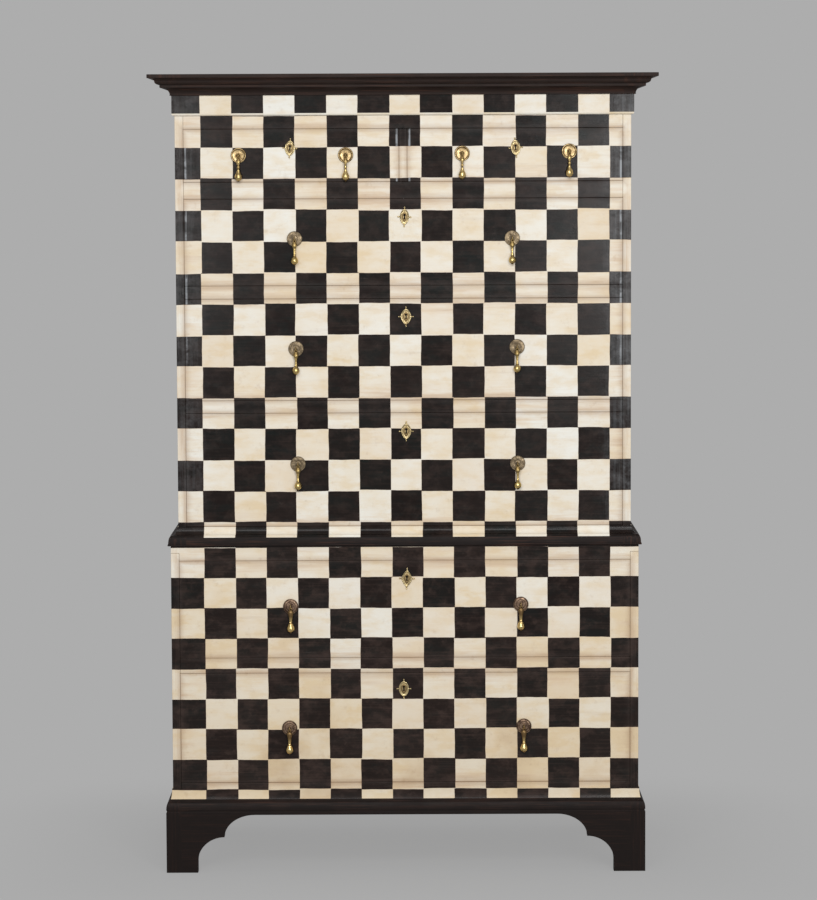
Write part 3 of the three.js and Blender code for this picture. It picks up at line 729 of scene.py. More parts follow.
def iron(name):
    """Dark iron with a little rust."""
    finish = Finish(name)
    patch = finish.mottle(finish.place, 70, 5, 0.65)
    fine = finish.mottle(finish.place, 700, 3, 0.6)
    rust = (patch * 0.6 + fine * 0.4).ramp(0.5, 0.66)
    colour = finish.mix(rust, IRON_DARK, IRON_RUST)
    return finish.surface(colour, rust * 0.3 + 0.42, finish.bump(fine, 0.2 * MM, 0.6), metallic=0.8)


def floor_finish():
    """A plain pale floor that keeps a soft shadow near the object and fades into the backdrop."""
    finish = Finish("pale_floor")
    x, y, _ = finish.split(finish.place)
    away = ((abs(x) - LOWER_HALF).most(0) ** 2 + (abs(y) - BACK).most(0) ** 2) ** 0.5
    shadow = away.ramp(SHADOW_REACH, 0.0) * FLOOR_SHADOW
    matt = finish.node("ShaderNodeBsdfDiffuse", values={"Color": BACKDROP})
    plain = finish.node("ShaderNodeEmission", values={"Color": BACKDROP, "Strength": 1.0})
    share = finish.sees_backdrop() * (1 - shadow)
    return finish.end(finish.node("ShaderNodeMixShader", values={0: share, 1: matt, 2: plain}))


# Studio

def add_camera():
    data = bpy.data.cameras.new("camera")
    camera = bpy.data.objects.new("camera", data)
    bpy.context.scene.collection.objects.link(camera)
    data.sensor_width = SENSOR
    data.lens = SENSOR * FOCAL_PIXELS / PHOTO_HEIGHT
    turn = Matrix.Rotation(math.radians(90 + CAMERA_PITCH), 4, "X")
    roll = Matrix.Rotation(math.radians(-CAMERA_ROLL), 4, "Z")
    camera.matrix_world = Matrix.Translation(CAMERA_PLACE) @ turn @ roll
    bpy.context.scene.camera = camera


def add_light(name, place, target, size, power):
    data = bpy.data.lights.new(name, "AREA")
    data.shape = "RECTANGLE"
    data.size = size[0]
    data.size_y = size[1]
    data.energy = power
    light = bpy.data.objects.new(name, data)
    light.location = place
    light.rotation_euler = (Vector(target) - Vector(place)).to_track_quat("-Z", "Y").to_euler()
    light.visible_camera = False
    bpy.context.scene.collection.objects.link(light)


def add_studio():
    """A world of even light that looks like the plain backdrop, the lamps and the floor."""
    scene = bpy.context.scene
    scene.view_settings.view_transform = "Standard"
    scene.world = bpy.data.worlds.new("studio")
    world = Finish("studio", scene.world)
    sky = world.node("ShaderNodeBackground", values={"Color": WHITE, "Strength": SKY_STRENGTH})
    plain = world.node("ShaderNodeBackground", values={"Color": BACKDROP})
    both = world.node("ShaderNodeMixShader", values={0: world.sees_backdrop(), 1: sky, 2: plain})
    world.end(both, "ShaderNodeOutputWorld")
    for name, (place, target, size, power) in LAMPS.items():
        add_light(name, place, target, size, power)
    mesh = bpy.data.meshes.new("floor")
    corners = [(x * FLOOR_REACH, y * FLOOR_REACH, 0) for x, y in ((-1, -1), (1, -1), (1, 1), (-1, 1))]
    mesh.from_pydata(corners, [], [(0, 1, 2, 3)])
    mesh.materials.append(floor_finish())
    floor = bpy.data.objects.new("floor", mesh)
    scene.collection.objects.link(floor)


# Shapes

def arc(centre, radii, start, end, steps=10):
    """Points on part of an ellipse. Angles are in turns, from the first axis towards the second."""
    points = []
    for step in range(steps + 1):
        angle = 2 * math.pi * (start + (end - start) * step / steps)
        points.append((centre[0] + radii[0] * math.cos(angle), centre[1] + radii[1] * math.sin(angle)))
    return points


def millimetres(points):
    """Points that are written in millimetres."""
    return [(across * MM, up * MM) for across, up in points]


def box_shape(low, high):
    """A rectangular board between two corners."""
    shape = bmesh.new()
    bmesh.ops.create_cube(shape, size=1)
    for corner in shape.verts:
        corner.co = Vector(low[axis] if corner.co[axis] < 0 else high[axis] for axis in range(3))
    return shape


def prism(outline, axis, low, high):
    """A flat outline given a thickness along x, y or z. The outline's own two axes follow in order."""
    across, up = {"x": (1, 2), "y": (0, 2), "z": (0, 1)}[axis]
    depth = "xyz".index(axis)
    shape = bmesh.new()
    ends = []
    for level in (low, high):
        ring = []
        for point in outline:
            place = Vector((0, 0, 0))
            place[across], place[up], place[depth] = point[0], point[1], level
            ring.append(shape.verts.new(place))
        ends.append(ring)
    join_rings(shape, ends[0], ends[1])
    shape.faces.new(ends[0])
    shape.faces.new(ends[1])
    bmesh.ops.recalc_face_normals(shape, faces=shape.faces)
    return shape


def join_rings(shape, first, second):
    """Closes the band between two rings of corners."""
    for place, corner in enumerate(first):
        following = (place + 1) % len(first)
        shape.faces.new((corner, first[following], second[following], second[place]))


def turned(profile, sides, place, axis="z", relief=None, flatten=None):
    """A solid turned on a lathe from (radius, height) points. Heights run along the axis from its place."""
    shape = bmesh.new()
    rings = []
    for radius, height in profile:
        ring = []
        for side in range(sides if radius > 0 else 1):
            turn = 2 * math.pi * side / sides
            out = Vector((radius * math.cos(turn), radius * math.sin(turn)))
            level = height + (relief(turn, radius) if relief else 0)
            if flatten:
                out.y *= flatten(height)
            spot = Vector((out.x, out.y, level)) if axis == "z" else Vector((out.x, -level, out.y))
            ring.append(shape.verts.new(place + spot))
        rings.append(ring)
    for lower, upper in zip(rings, rings[1:]):
        if len(lower) == 1 or len(upper) == 1:
            tip, ring = (lower[0], upper) if len(lower) == 1 else (upper[0], lower)
            for side, corner in enumerate(ring):
                shape.faces.new((tip, corner, ring[(side + 1) % sides]))
        else:
            join_rings(shape, lower, upper)
    if len(rings[0]) > 1 and rings[0][0].co == rings[-1][0].co:
        bmesh.ops.remove_doubles(shape, verts=shape.verts, dist=1e-7)
    bmesh.ops.recalc_face_normals(shape, faces=shape.faces)
    return shape


def smooth_profile(points, steps=5):
    """A smooth line through the points of a turned outline."""
    padded = [points[0], *points, points[-1]]
    line = []
    for corners in zip(padded, padded[1:], padded[2:], padded[3:]):
        for step in range(steps):
            t = step / steps
            point = []
            for a, b, c, d in zip(*corners):
                bend = (2 * a - 5 * b + 4 * c - d) * t ** 2 + (3 * b - a - 3 * c + d) * t ** 3
                point.append(b + ((c - a) * t + bend) / 2)
            line.append(tuple(point))
    line.append(points[-1])
    return line


def three_sided(outline, half, front, back, wander=0.0):
    """A moulding round the left, the front and the right of the chest, mitred at its two corners.
    The outline gives how far out of the case each point stands, and its height."""
    shape = bmesh.new()
    side_steps = max(1, round((back - front) / MOULDING_STEP))
    front_steps = max(1, round(2 * half / MOULDING_STEP))
    stations = [("left", step / side_steps) for step in range(side_steps)]
    stations += [("front", step / front_steps) for step in range(front_steps)]
    stations += [("right", step / side_steps) for step in range(side_steps + 1)]
    rings = []
    for part, share in stations:
        ring = []
        for out, up in outline:
            if part == "left":
                place = Vector((-half - out, back + (front - out - back) * share, up))
            elif part == "front":
                place = Vector(((-half - out) + 2 * (half + out) * share, front - out, up))
            else:
                place = Vector((half + out, (front - out) + (back - front + out) * share, up))
            # A hand plane leaves it a little uneven, except where it lies against the case
            if wander and out > 1 * MM:
                inward = (noise.noise(place * 9) * 0.5 + 0.5) * wander
                if part != "front" or share == 0:
                    place.x -= math.copysign(inward, place.x)
                if part == "front" or (part == "right" and share == 0):
                    place.y += inward
            ring.append(shape.verts.new(place))
        rings.append(ring)
    for first, second in zip(rings, rings[1:]):
        join_rings(shape, first, second)
    shape.faces.new(rings[0])
    shape.faces.new(rings[-1])
    bmesh.ops.recalc_face_normals(shape, faces=shape.faces)
    return shape


def joined(*shapes):
    """Several shapes as one, each still closed by itself."""
    whole = bmesh.new()
    for shape in shapes:
        flat = bpy.data.meshes.new("part")
        shape.to_mesh(flat)
        shape.free()
        whole.from_mesh(flat)
        bpy.data.meshes.remove(flat)
    return whole


# Pieces

def piece_from(shape, name, finish):
    """A Blender object with its place in its mesh."""
    mesh = bpy.data.meshes.new(name)
    shape.to_mesh(mesh)
    shape.free()
    mesh.materials.append(finish)
    piece = bpy.data.objects.new(name, mesh)
    bpy.context.scene.collection.objects.link(piece)
    return piece


def settle(piece):
    """Keeps what the modifiers made as a plain mesh."""
    bpy.context.view_layer.update()
    graph = bpy.context.evaluated_depsgraph_get()
    mesh = bpy.data.meshes.new_from_object(piece.evaluated_get(graph), depsgraph=graph)
    piece.modifiers.clear()
    piece.data = mesh
    mesh.name = piece.name


def eased(piece, width, segments=2, angle=30):
    """Rounds the hard edges over."""
    modifier = piece.modifiers.new("eased", "BEVEL")
    modifier.width = width
    modifier.segments = segments
    modifier.limit_method = "ANGLE"
    modifier.angle_limit = math.radians(angle)
    modifier.harden_normals = False
    settle(piece)


def combined(piece, others, operation):
    """Cuts the other pieces out of this one, or adds them to it."""
    for other in others:
        modifier = piece.modifiers.new("cut", "BOOLEAN")
        modifier.operation = operation
        modifier.solver = "EXACT"
        modifier.object = other
    settle(piece)
    for other in others:
        bpy.data.objects.remove(other)


def keep_share(mesh, share_of):
    """Stores one number at each corner of a mesh, for its finish to read."""
    kept = mesh.attributes.new("share", "FLOAT", "POINT")
    kept.data.foreach_set("value", [share_of(corner.co) for corner in mesh.vertices])


def finished(piece, body, slot, *nodes, angle=35):
    """Shades the piece smooth between its edges, gives it its body and hides the nodes it replaces. The slot
    is not used.
    """
    piece.data.shade_smooth()
    piece.data.set_sharp_from_angle(angle=math.radians(angle))
    modifier = piece.modifiers.new("shading", "WEIGHTED_NORMAL")
    modifier.keep_sharp = True
    modifier.weight = 100
    settle(piece)
    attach(piece, body)
    if nodes:
        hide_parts(*nodes)


def case_board(name, finish):
    """A board of the case, with its edges worn round."""
    shape = bmesh.new()
    shape.from_mesh(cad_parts[name].data)
    bmesh.ops.remove_doubles(shape, verts=shape.verts, dist=1e-6)
    bmesh.ops.dissolve_limit(shape, angle_limit=math.radians(0.5), verts=shape.verts, edges=shape.edges)
    piece = piece_from(shape, name + "_board", finish)
    eased(piece, BOARD_ROUND)
    finished(piece, "case", "painted_wood", name)


# Geometry Nodes trees

class Tree:
    """A Geometry Nodes tree with named inputs."""

    def __init__(self, name, inputs):
        self.tree = bpy.data.node_groups.new(name, "GeometryNodeTree")
        self.sockets = {}
        kinds = {"Geometry": "NodeSocketGeometry", **inputs, "Finish": "NodeSocketMaterial"}
        for label, kind in kinds.items():
            socket = self.tree.interface.new_socket(label, in_out="INPUT", socket_type=kind)
            self.sockets[label] = socket.identifier
        self.tree.interface.new_socket("Geometry", in_out="OUTPUT", socket_type="NodeSocketGeometry")
        self.inputs = self.tree.nodes.new("NodeGroupInput").outputs

    def node(self, kind, settings=None, values=None, out=0):
        made = self.tree.nodes.new(kind)
        for name, setting in (settings or {}).items():
            setattr(made, name, setting)
        for name, value in (values or {}).items():
            if isinstance(value, bpy.types.NodeSocket):
                self.tree.links.new(value, made.inputs[name])
            else:
                made.inputs[name].default_value = value
        return made.outputs[out]

    def end(self, geometry):
        whole = self.node("GeometryNodeRealizeInstances", values={0: geometry})
        values = {"Geometry": whole, "Material": self.inputs["Finish"]}
        coated = self.node("GeometryNodeSetMaterial", values=values)
        output = self.tree.nodes.new("NodeGroupOutput")
        self.tree.links.new(coated, output.inputs[0])

    def grow(self, piece, finish, **values):
        """Runs the tree on a piece and keeps the result as its mesh."""
        modifier = piece.modifiers.new("grown", "NODES")
        modifier.node_group = self.tree
        for label, value in {**values, "Finish": finish}.items():
            modifier[self.sockets[label]] = value
        settle(piece)


def repeat_tree():
    """Repeats a piece along a straight line, each copy a little out of place."""
    inputs = {
        "Count": "NodeSocketInt",
        "Step": "NodeSocketVector",
        "Stray": "NodeSocketVector",
        "Seed": "NodeSocketInt",
    }
    made = Tree("repeat_along", inputs)
    line = made.node(
        "GeometryNodeMeshLine",
        {"mode": "OFFSET"},
        {"Count": made.inputs["Count"], "Offset": made.inputs["Step"]},
    )
    most = made.inputs["Stray"]
    least = made.node("ShaderNodeVectorMath", {"operation": "SCALE"}, {0: most, "Scale": -1.0})
    stray = made.node(
        "FunctionNodeRandomValue",
        {"data_type": "FLOAT_VECTOR"},
        {"Min": least, "Max": most, "Seed": made.inputs["Seed"]},
    )
    placed = made.node("GeometryNodeSetPosition", values={"Geometry": line, "Offset": stray})
    copies = made.node(
        "GeometryNodeInstanceOnPoints",
        values={"Points": placed, "Instance": made.inputs["Geometry"]},
    )
    made.end(copies)
    return made


def wire_tree():
    """Draws a round wire along a line of points."""
    made = Tree("wire_along", {"Radius": "NodeSocketFloat", "Sides": "NodeSocketInt"})
    path = made.node("GeometryNodeMeshToCurve", values={0: made.inputs["Geometry"]})
    round_section = made.node(
        "GeometryNodeCurvePrimitiveCircle",
        {"mode": "RADIUS"},
        {"Resolution": made.inputs["Sides"], "Radius": made.inputs["Radius"]},
    )
    wire = made.node(
        "GeometryNodeCurveToMesh",
        values={"Curve": path, "Profile Curve": round_section, "Fill Caps": True},
    )
    made.end(wire)
    return made


def line_piece(name, points):
    """A bare line of points, for a wire to follow."""
    mesh = bpy.data.meshes.new(name)
    mesh.from_pydata(points, [(step, step + 1) for step in range(len(points) - 1)], [])
    piece = bpy.data.objects.new(name, mesh)
    bpy.context.scene.collection.objects.link(piece)
    return piece


# The case

def planks(name, low, high, stray, width, finish, seed):
    """A panel of boards laid edge to edge. Each strays a little in depth or height, and has its own tone."""
    size = high - low
    count = round(size.x / width)
    pitch = size.x / count
    half = (pitch - PLANK_GAP) / 2
    board = box_shape(Vector((-half, 0, 0)), Vector((half, size.y, size.z)))
    piece = piece_from(board, name, finish)
    eased(piece, PLANK_ROUND)
    REPEAT.grow(piece, finish, Count=count, Step=(pitch, 0, 0), Stray=stray, Seed=seed)
    shrink = Matrix.Diagonal((1, 1 - 2 * stray[1] / size.y, 1 - 2 * stray[2] / size.z, 1))
    inner = low + Vector((pitch / 2, stray[1], stray[2]))
    piece.data.transform(Matrix.Translation(inner) @ shrink)
    chance = random.Random(seed)
    tones = [chance.random() for _ in range(count)]
    keep_share(piece.data, lambda spot: tones[min(int((spot.x - low.x) / pitch), count - 1)])
    return piece


def faced_back(shape):
    """A shape that was drawn towards the front, turned to stand proud towards the back."""
    bmesh.ops.scale(shape, vec=(1, -1, 1), verts=shape.verts)
    bmesh.ops.recalc_face_normals(shape, faces=shape.faces)
    return shape


def add_backs():
    """The planked backs of the two chests, nailed to the sides and the boards inside."""
    for part, seed, levels in (("upper", 3, 5), ("lower", 8, 3)):
        node = part + "_back_panel"
        low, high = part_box(node)
        high = high - Vector((0, NAIL_RISE, 0))
        panel = planks(part + "_back_planks", low, high, (0, BACK_STRAY, 0), BACK_PLANK, BARE["z"], seed)
        finished(panel, "case", "bare_wood", node)
        step = (high.x - low.x - 2 * NAIL_INSET) / (NAILS_ACROSS - 1)
        rise = (high.z - low.z - 2 * NAIL_INSET) / (levels - 1)
        nail = faced_back(turned(millimetres(NAIL_HEAD), 10, Vector((0, 0, 0)), "y"))
        nails = piece_from(nail, part + "_back_nails", IRON)
        stray = (NAIL_STRAY, 0, NAIL_STRAY)
        REPEAT.grow(nails, IRON, Count=NAILS_ACROSS, Step=(step, 0, 0), Stray=stray, Seed=seed)
        REPEAT.grow(nails, IRON, Count=levels, Step=(0, 0, rise), Stray=(0, 0, 0), Seed=seed)
        nails.data.transform(Matrix.Translation((low.x + NAIL_INSET, high.y, low.z + NAIL_INSET)))
        finished(nails, "case", "bare_wood")


def add_cornice():
    """The cornice moulding, and the frieze board under it."""
    low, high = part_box("cornice")
    top, tip = high.z, high.x - UPPER_HALF
    corona_foot = top - CORONA_HEIGHT
    ogee_start = tip - CORONA_UNDERSIDE
    ogee_end = ogee_start - OGEE_RUN
    ogee_middle = corona_foot - OGEE_DROP / 2
    fillet_foot = corona_foot - OGEE_DROP - CORNICE_FILLET
    cavetto_top = ogee_end - FILLET_STEP
    cavetto_foot = FRIEZE_PROUD + CAVETTO_END
    cavetto_low = FRIEZE_TOP + ASTRAGAL
    edge = 1.2 * MM
    soft = 0.6 * MM
    half_ogee = (OGEE_RUN / 2, OGEE_DROP / 2)
    cavetto = (cavetto_top - cavetto_foot, fillet_foot - cavetto_low)
    outline = [
        (CASE_GAP, top),
        (tip - edge, top),
        *arc((tip - edge, top - edge), (edge, edge), 0.25, 0, 4)[1:],
        *arc((tip - edge, corona_foot + edge), (edge, edge), 0, -0.25, 4),
        (ogee_start, corona_foot),
        *arc((ogee_start, ogee_middle), half_ogee, 0.25, 0.5, 8)[1:],
        *arc((ogee_end, ogee_middle), half_ogee, 0, -0.25, 8)[1:],
        (ogee_end, fillet_foot + soft),
        (ogee_end - soft, fillet_foot),
        *arc((cavetto_top, cavetto_low), cavetto, 0.25, 0.5, 12),
        *arc((cavetto_foot, FRIEZE_TOP + ASTRAGAL / 2), (ASTRAGAL * 0.4, ASTRAGAL / 2), 0.25, -0.25, 6)[1:],
        (CASE_GAP, FRIEZE_TOP),
    ]
    shape = three_sided(outline, UPPER_HALF, UPPER_FRONT, BACK, CORNICE_WANDER)
    finished(piece_from(shape, "cornice_moulding", MOULDING_PAINT), "case", "black_moulding", "cornice")
    foot = low.z
    frieze = [
        (CASE_GAP, FRIEZE_TOP - CLEAR),
        (FRIEZE_PROUD, FRIEZE_TOP - CLEAR),
        *arc((FRIEZE_PROUD - FRIEZE_EDGE, foot + FRIEZE_ROUND), (FRIEZE_EDGE, FRIEZE_ROUND), 0, -0.25, 8),
        (CASE_GAP, foot),
    ]
    shape = three_sided(frieze, UPPER_HALF, UPPER_FRONT, BACK, FRIEZE_WANDER)
    finished(piece_from(shape, "frieze_board", MOULDING_PAINT), "case", "painted_wood", "cornice")


def add_waist():
    """The moulding on the lower chest that closes round the foot of the upper one."""
    low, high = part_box("waist_moulding")
    top, bottom, nose = high.z, low.z, high.x - UPPER_HALF
    cove_end = WAIST_LIP + WAIST_COVE_RUN
    fillet_end = cove_end + WAIST_STEP
    nose_top = bottom + WAIST_NOSING_HEIGHT
    fillet_foot = nose_top + WAIST_OVOLO
    fillet_top = fillet_foot + WAIST_FILLET
    cove_top = top - WAIST_LIP_HEIGHT
    setback = LOWER_HALF - UPPER_HALF
    soft = 1.2 * MM
    outline = [
        (CASE_GAP, top),
        (WAIST_LIP - soft / 2, top),
        (WAIST_LIP, top - soft / 2),
        *arc((cove_end, cove_top), (WAIST_COVE_RUN, cove_top - fillet_top), 0.5, 0.75, 12),
        (fillet_end - soft / 3, fillet_top),
        (fillet_end, fillet_top - soft / 3),
        *arc((fillet_end, nose_top), (nose - fillet_end - soft, fillet_foot - nose_top), 0.25, 0, 10),
        *arc((nose - soft, nose_top - soft), (soft, soft), 0.25, 0, 3)[1:],
        *arc((nose - soft, bottom + soft), (soft, soft), 0, -0.25, 3),
        (setback + CASE_GAP, bottom),
        (setback + CASE_GAP, PARTING + CASE_GAP),
        (CASE_GAP, PARTING + CASE_GAP),
    ]
    shape = three_sided(outline, UPPER_HALF, UPPER_FRONT, BACK, WAIST_WANDER)
    piece = piece_from(shape, "waist_profile", MOULDING_PAINT)
    finished(piece, "case", "black_moulding", "waist_moulding")


def arch_outline(half):
    """The opening between two bracket feet: a straight start, a cusp and a rounded crown."""
    foot = half - FOOT_WIDTH
    cusp = foot - CUSP_REACH
    crown = cusp - ARCH_REACH
    cusp_level = FOOT_STRAIGHT + CUSP_RISE
    right = [
        (foot, -5 * MM),
        *arc((cusp, FOOT_STRAIGHT), (CUSP_REACH, CUSP_RISE), 0, 0.25, 14),
        *arc((crown, cusp_level), (ARCH_REACH, ARCH_RISE), 0, 0.25, 14),
    ]
    return right + [(-across, up) for across, up in reversed(right)]


def base_outlines(top, proud):
    """The base moulding and the plinth board under it, as outlines outwards from the lower chest."""
    cove_end = BASE_LIP + BASE_COVE_RUN
    cove_foot = top - BASE_COVE_HEIGHT
    fillet_end = cove_end + BASE_STEP
    ovolo_top = cove_foot - BASE_FILLET
    ovolo_foot = ovolo_top - BASE_OVOLO
    groove_top = ovolo_foot - BASE_BAND
    groove_foot = groove_top - BASE_GROOVE
    behind = proud - PLINTH_THICKNESS
    in_groove = proud - BASE_GROOVE_DEPTH
    soft = 0.5 * MM
    moulding = [
        (CASE_GAP, top),
        *arc((cove_end, top), (BASE_COVE_RUN, BASE_COVE_HEIGHT), 0.5, 0.75, 12),
        (fillet_end - soft, cove_foot),
        (fillet_end, cove_foot - soft),
        (fillet_end, ovolo_top),
        *arc((fillet_end, ovolo_foot), (proud - fillet_end, BASE_OVOLO), 0.25, 0, 8)[1:],
        *arc((proud - soft, groove_top + soft), (soft, soft), 0, -0.25, 3),
        (in_groove, groove_top),
        (behind, groove_top),
        (behind, LEDGE),
        (CASE_GAP, LEDGE),
    ]
    plinth = [
        (in_groove, groove_top - CLEAR),
        *arc((proud, groove_foot + BASE_GROOVE_DEPTH), (BASE_GROOVE_DEPTH, BASE_GROOVE_DEPTH), 0.5, 0.75, 5),
        (proud, 0),
        (behind, 0),
        (behind, groove_top - CLEAR),
    ]
    return moulding, plinth


def add_base():
    """The base moulding, the bracket feet under it, and the rail and blocks behind them."""
    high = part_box("bracket_base")[1]
    proud = high.x - LOWER_HALF
    moulding, plinth = base_outlines(high.z, proud)
    shape = three_sided(moulding, LOWER_HALF, LOWER_FRONT, BACK, BASE_WANDER)
    finished(piece_from(shape, "base_moulding", MOULDING_PAINT), "case", "black_moulding", "bracket_base")

    feet = piece_from(three_sided(plinth, LOWER_HALF, LOWER_FRONT, BACK), "bracket_feet", MOULDING_PAINT)
    outer, front = LOWER_HALF + proud, LOWER_FRONT - proud
    past = 10 * MM
    middle = (front + BACK) / 2
    side_outline = [(middle + across, up) for across, up in arch_outline((BACK - front) / 2)]
    front_cut = prism(arch_outline(outer), "y", front - past, BACK - 2 * BACK_RAIL)
    side_cut = prism(side_outline, "x", -outer - past, outer + past)
    cutters = [piece_from(front_cut, "front_cut", IRON), piece_from(side_cut, "side_cut", IRON)]
    combined(feet, cutters, "DIFFERENCE")
    eased(feet, 0.9 * MM, 2, 50)
    finished(feet, "case", "black_moulding", "bracket_base")

    inner = outer - PLINTH_THICKNESS
    rail_low = Vector((-inner, BACK - BACK_RAIL, 0))
    rail = piece_from(box_shape(rail_low, Vector((inner, BACK, LEDGE))), "back_rail", BARE["x"])
    rail_cut = prism(arch_outline(outer), "y", BACK - BACK_RAIL - past, BACK + past)
    combined(rail, [piece_from(rail_cut, "rail_cut", IRON)], "DIFFERENCE")
    eased(rail, 0.8 * MM, 2, 50)
    finished(rail, "case", "bare_wood", "bracket_base")

    blocks = []
    for side in (-1, 1):
        for start in (front + PLINTH_THICKNESS, BACK - BACK_RAIL - GLUE_BLOCK):
            across = sorted((side * inner, side * (inner - GLUE_BLOCK)))
            block_low = Vector((across[0], start, BLOCK_CLEAR))
            block_high = Vector((across[1], start + GLUE_BLOCK, LEDGE - BLOCK_CLEAR))
            blocks.append(box_shape(block_low, block_high))
    block_piece = piece_from(joined(*blocks), "glue_blocks", BARE["z"])
    eased(block_piece, 1.5 * MM, 1)
    finished(block_piece, "case", "bare_wood", "bracket_base")


# The drawers

def keyhole(x, z, slack=0.0):
    """A round hole over a slot, as an outline."""
    radius = KEY_ROUND + slack
    slot = KEY_SLOT + slack
    start = math.acos(slot / radius) / (2 * math.pi)
    head = arc((x, z), (radius, radius), -start, 0.5 + start, 16)
    foot = KEY_DROP + slack
    return [*head, (x - slot, z - foot), (x + slot, z - foot)]


def tails(root, tip, low, high, count, slack=0.0):
    """The dovetails on the end of a drawer side, as outlines of depth and height."""
    pitch = (high - low) / count
    outlines = []
    for number in range(count):
        middle = low + pitch * (number + 0.5)
        narrow = pitch * TAIL_SHARE + slack
        wide = narrow + abs(tip - root) * TAIL_SLOPE
        outlines.append([
            (root, middle - narrow), (tip, middle - wide), (tip, middle + wide), (root, middle + narrow),
        ])
    return outlines


def lock_plate(x, top, back):
    """An iron lock let into the back of a drawer front from its top edge."""
    boxes = []
    for half, depths, heights in LOCK_BOXES:
        low, high = (Vector((0, back + depth, top + height)) for depth, height in zip(depths, heights))
        low.x, high.x = x - half, x + half
        boxes.append(box_shape(low, high))
    return joined(*boxes)


def add_lock(name, x, top, back):
    """The lock and its four screws."""
    lock = piece_from(lock_plate(x, top, back), name + "_lock", IRON)
    eased(lock, 0.35 * MM)
    finished(lock, name, "dark_brass")
    screw = faced_back(turned(millimetres(SCREW_HEAD), 12, Vector((0, 0, 0)), "y"))
    screws = piece_from(screw, name + "_lock_screws", IRON)
    spread = LOCK_WIDTH - 2 * SCREWS_IN
    rise = LOCK_HEIGHT - 2 * SCREWS_DOWN
    REPEAT.grow(screws, IRON, Count=2, Step=(spread, 0, 0), Stray=(0, 0, 0), Seed=1)
    REPEAT.grow(screws, IRON, Count=2, Step=(0, 0, rise), Stray=(0, 0, 0), Seed=1)
    first = (x - spread / 2, back + 0.5 * MM, top - LOCK_HEIGHT + SCREWS_DOWN)
    screws.data.transform(Matrix.Translation(first))
    finished(screws, name, "dark_brass")


def add_escutcheon(name, x, level, face, power, tilt, width, height):
    """A pointed plate with a raised rim, a keyhole, four ball ends and two pins."""
    shape = bmesh.new()
    hole = keyhole(0, KEY_ABOVE)
    rings = [[] for _ in ESCUTCHEON_PROFILE]
    for step in range(PLATE_STEPS):
        turn = 2 * math.pi * step / PLATE_STEPS
        outer = plate_edge(turn, width / 2, height / 2, power)
        inner = hole_edge(hole, turn)
        for ring, (share, rise) in zip(rings, ESCUTCHEON_PROFILE):
            spot = inner.lerp(outer, share)
            ring.append(shape.verts.new((spot.x, -rise * MM, spot.y)))
    for first, second in zip(rings, rings[1:] + rings[:1]):
        join_rings(shape, first, second)
    bmesh.ops.recalc_face_normals(shape, faces=shape.faces)
    parts = [shape]
    lift = Matrix.Translation((0, -END_BALL_PROUD, 0))
    for angle, reach in ((0, width / 2), (90, height / 2), (180, width / 2), (270, height / 2)):
        end = turned(ball_end(), 14, Vector((0, 0, 0)))
        turn = Matrix.Rotation(math.radians(90 - angle), 4, "Y")
        place = lift @ turn @ Matrix.Translation((0, 0, reach - END_BALL_OVERLAP))
        bmesh.ops.transform(end, matrix=place, verts=end.verts)
        parts.append(end)
    for side in (-1, 1):
        parts.append(turned(millimetres(PIN_HEAD), 10, Vector((0, 0, side * height * PIN_SHARE)), "y"))
    whole = joined(*parts)
    lean = Matrix.Rotation(math.radians(tilt), 4, "Y")
    bmesh.ops.transform(whole, matrix=Matrix.Translation((x, face, level)) @ lean, verts=whole.verts)
    piece = piece_from(whole, name + "_escutcheon", ESCUTCHEON_BRASS)
    upright = Matrix.Rotation(math.radians(-tilt), 4, "Y") @ Matrix.Translation((-x, -face, -level))

    def share_of(spot):
        flat = upright @ spot
        across, up = abs(2 * flat.x / width), abs(2 * flat.z / height)
        return (across ** power + up ** power) ** (1 / power)

    keep_share(piece.data, share_of)
    finished(piece, name, "bright_brass", angle=50)


def plate_edge(turn, half_width, half_height, power):
    """A point on the plate's outline: power 2 is an oval, and less is more pointed."""
    across, up = math.cos(turn), math.sin(turn)
    reach = (abs(across / half_width) ** power + abs(up / half_height) ** power) ** (-1 / power)
    return Vector((across * reach, up * reach))


def hole_edge(hole, turn):
    """Where a line from the middle of the keyhole at this angle leaves it."""
    across, up = math.cos(turn), math.sin(turn)
    middle = Vector((0, KEY_ABOVE - KEY_DROP * KEY_MIDDLE))
    best = None
    for start, end in zip(hole, hole[1:] + hole[:1]):
        edge = Vector(end) - Vector(start)
        offset = Vector(start) - middle
        area = across * edge.y - up * edge.x
        if abs(area) < 1e-12:
            continue
        reach = (offset.x * edge.y - offset.y * edge.x) / area
        along = (offset.x * up - offset.y * across) / area
        if reach > 0 and -1e-6 <= along <= 1 + 1e-6:
            best = reach if best is None else max(best, reach)
    return middle + Vector((across, up)) * best


def ball_end():
    """A small collar and ball, pointing up."""
    ball = arc((0, END_BALL_OUT), (END_BALL, END_BALL), -0.16, 0.25, 8)[:-1]
    return millimetres(BALL_COLLAR) + ball + [(0, END_BALL_OUT + END_BALL)]


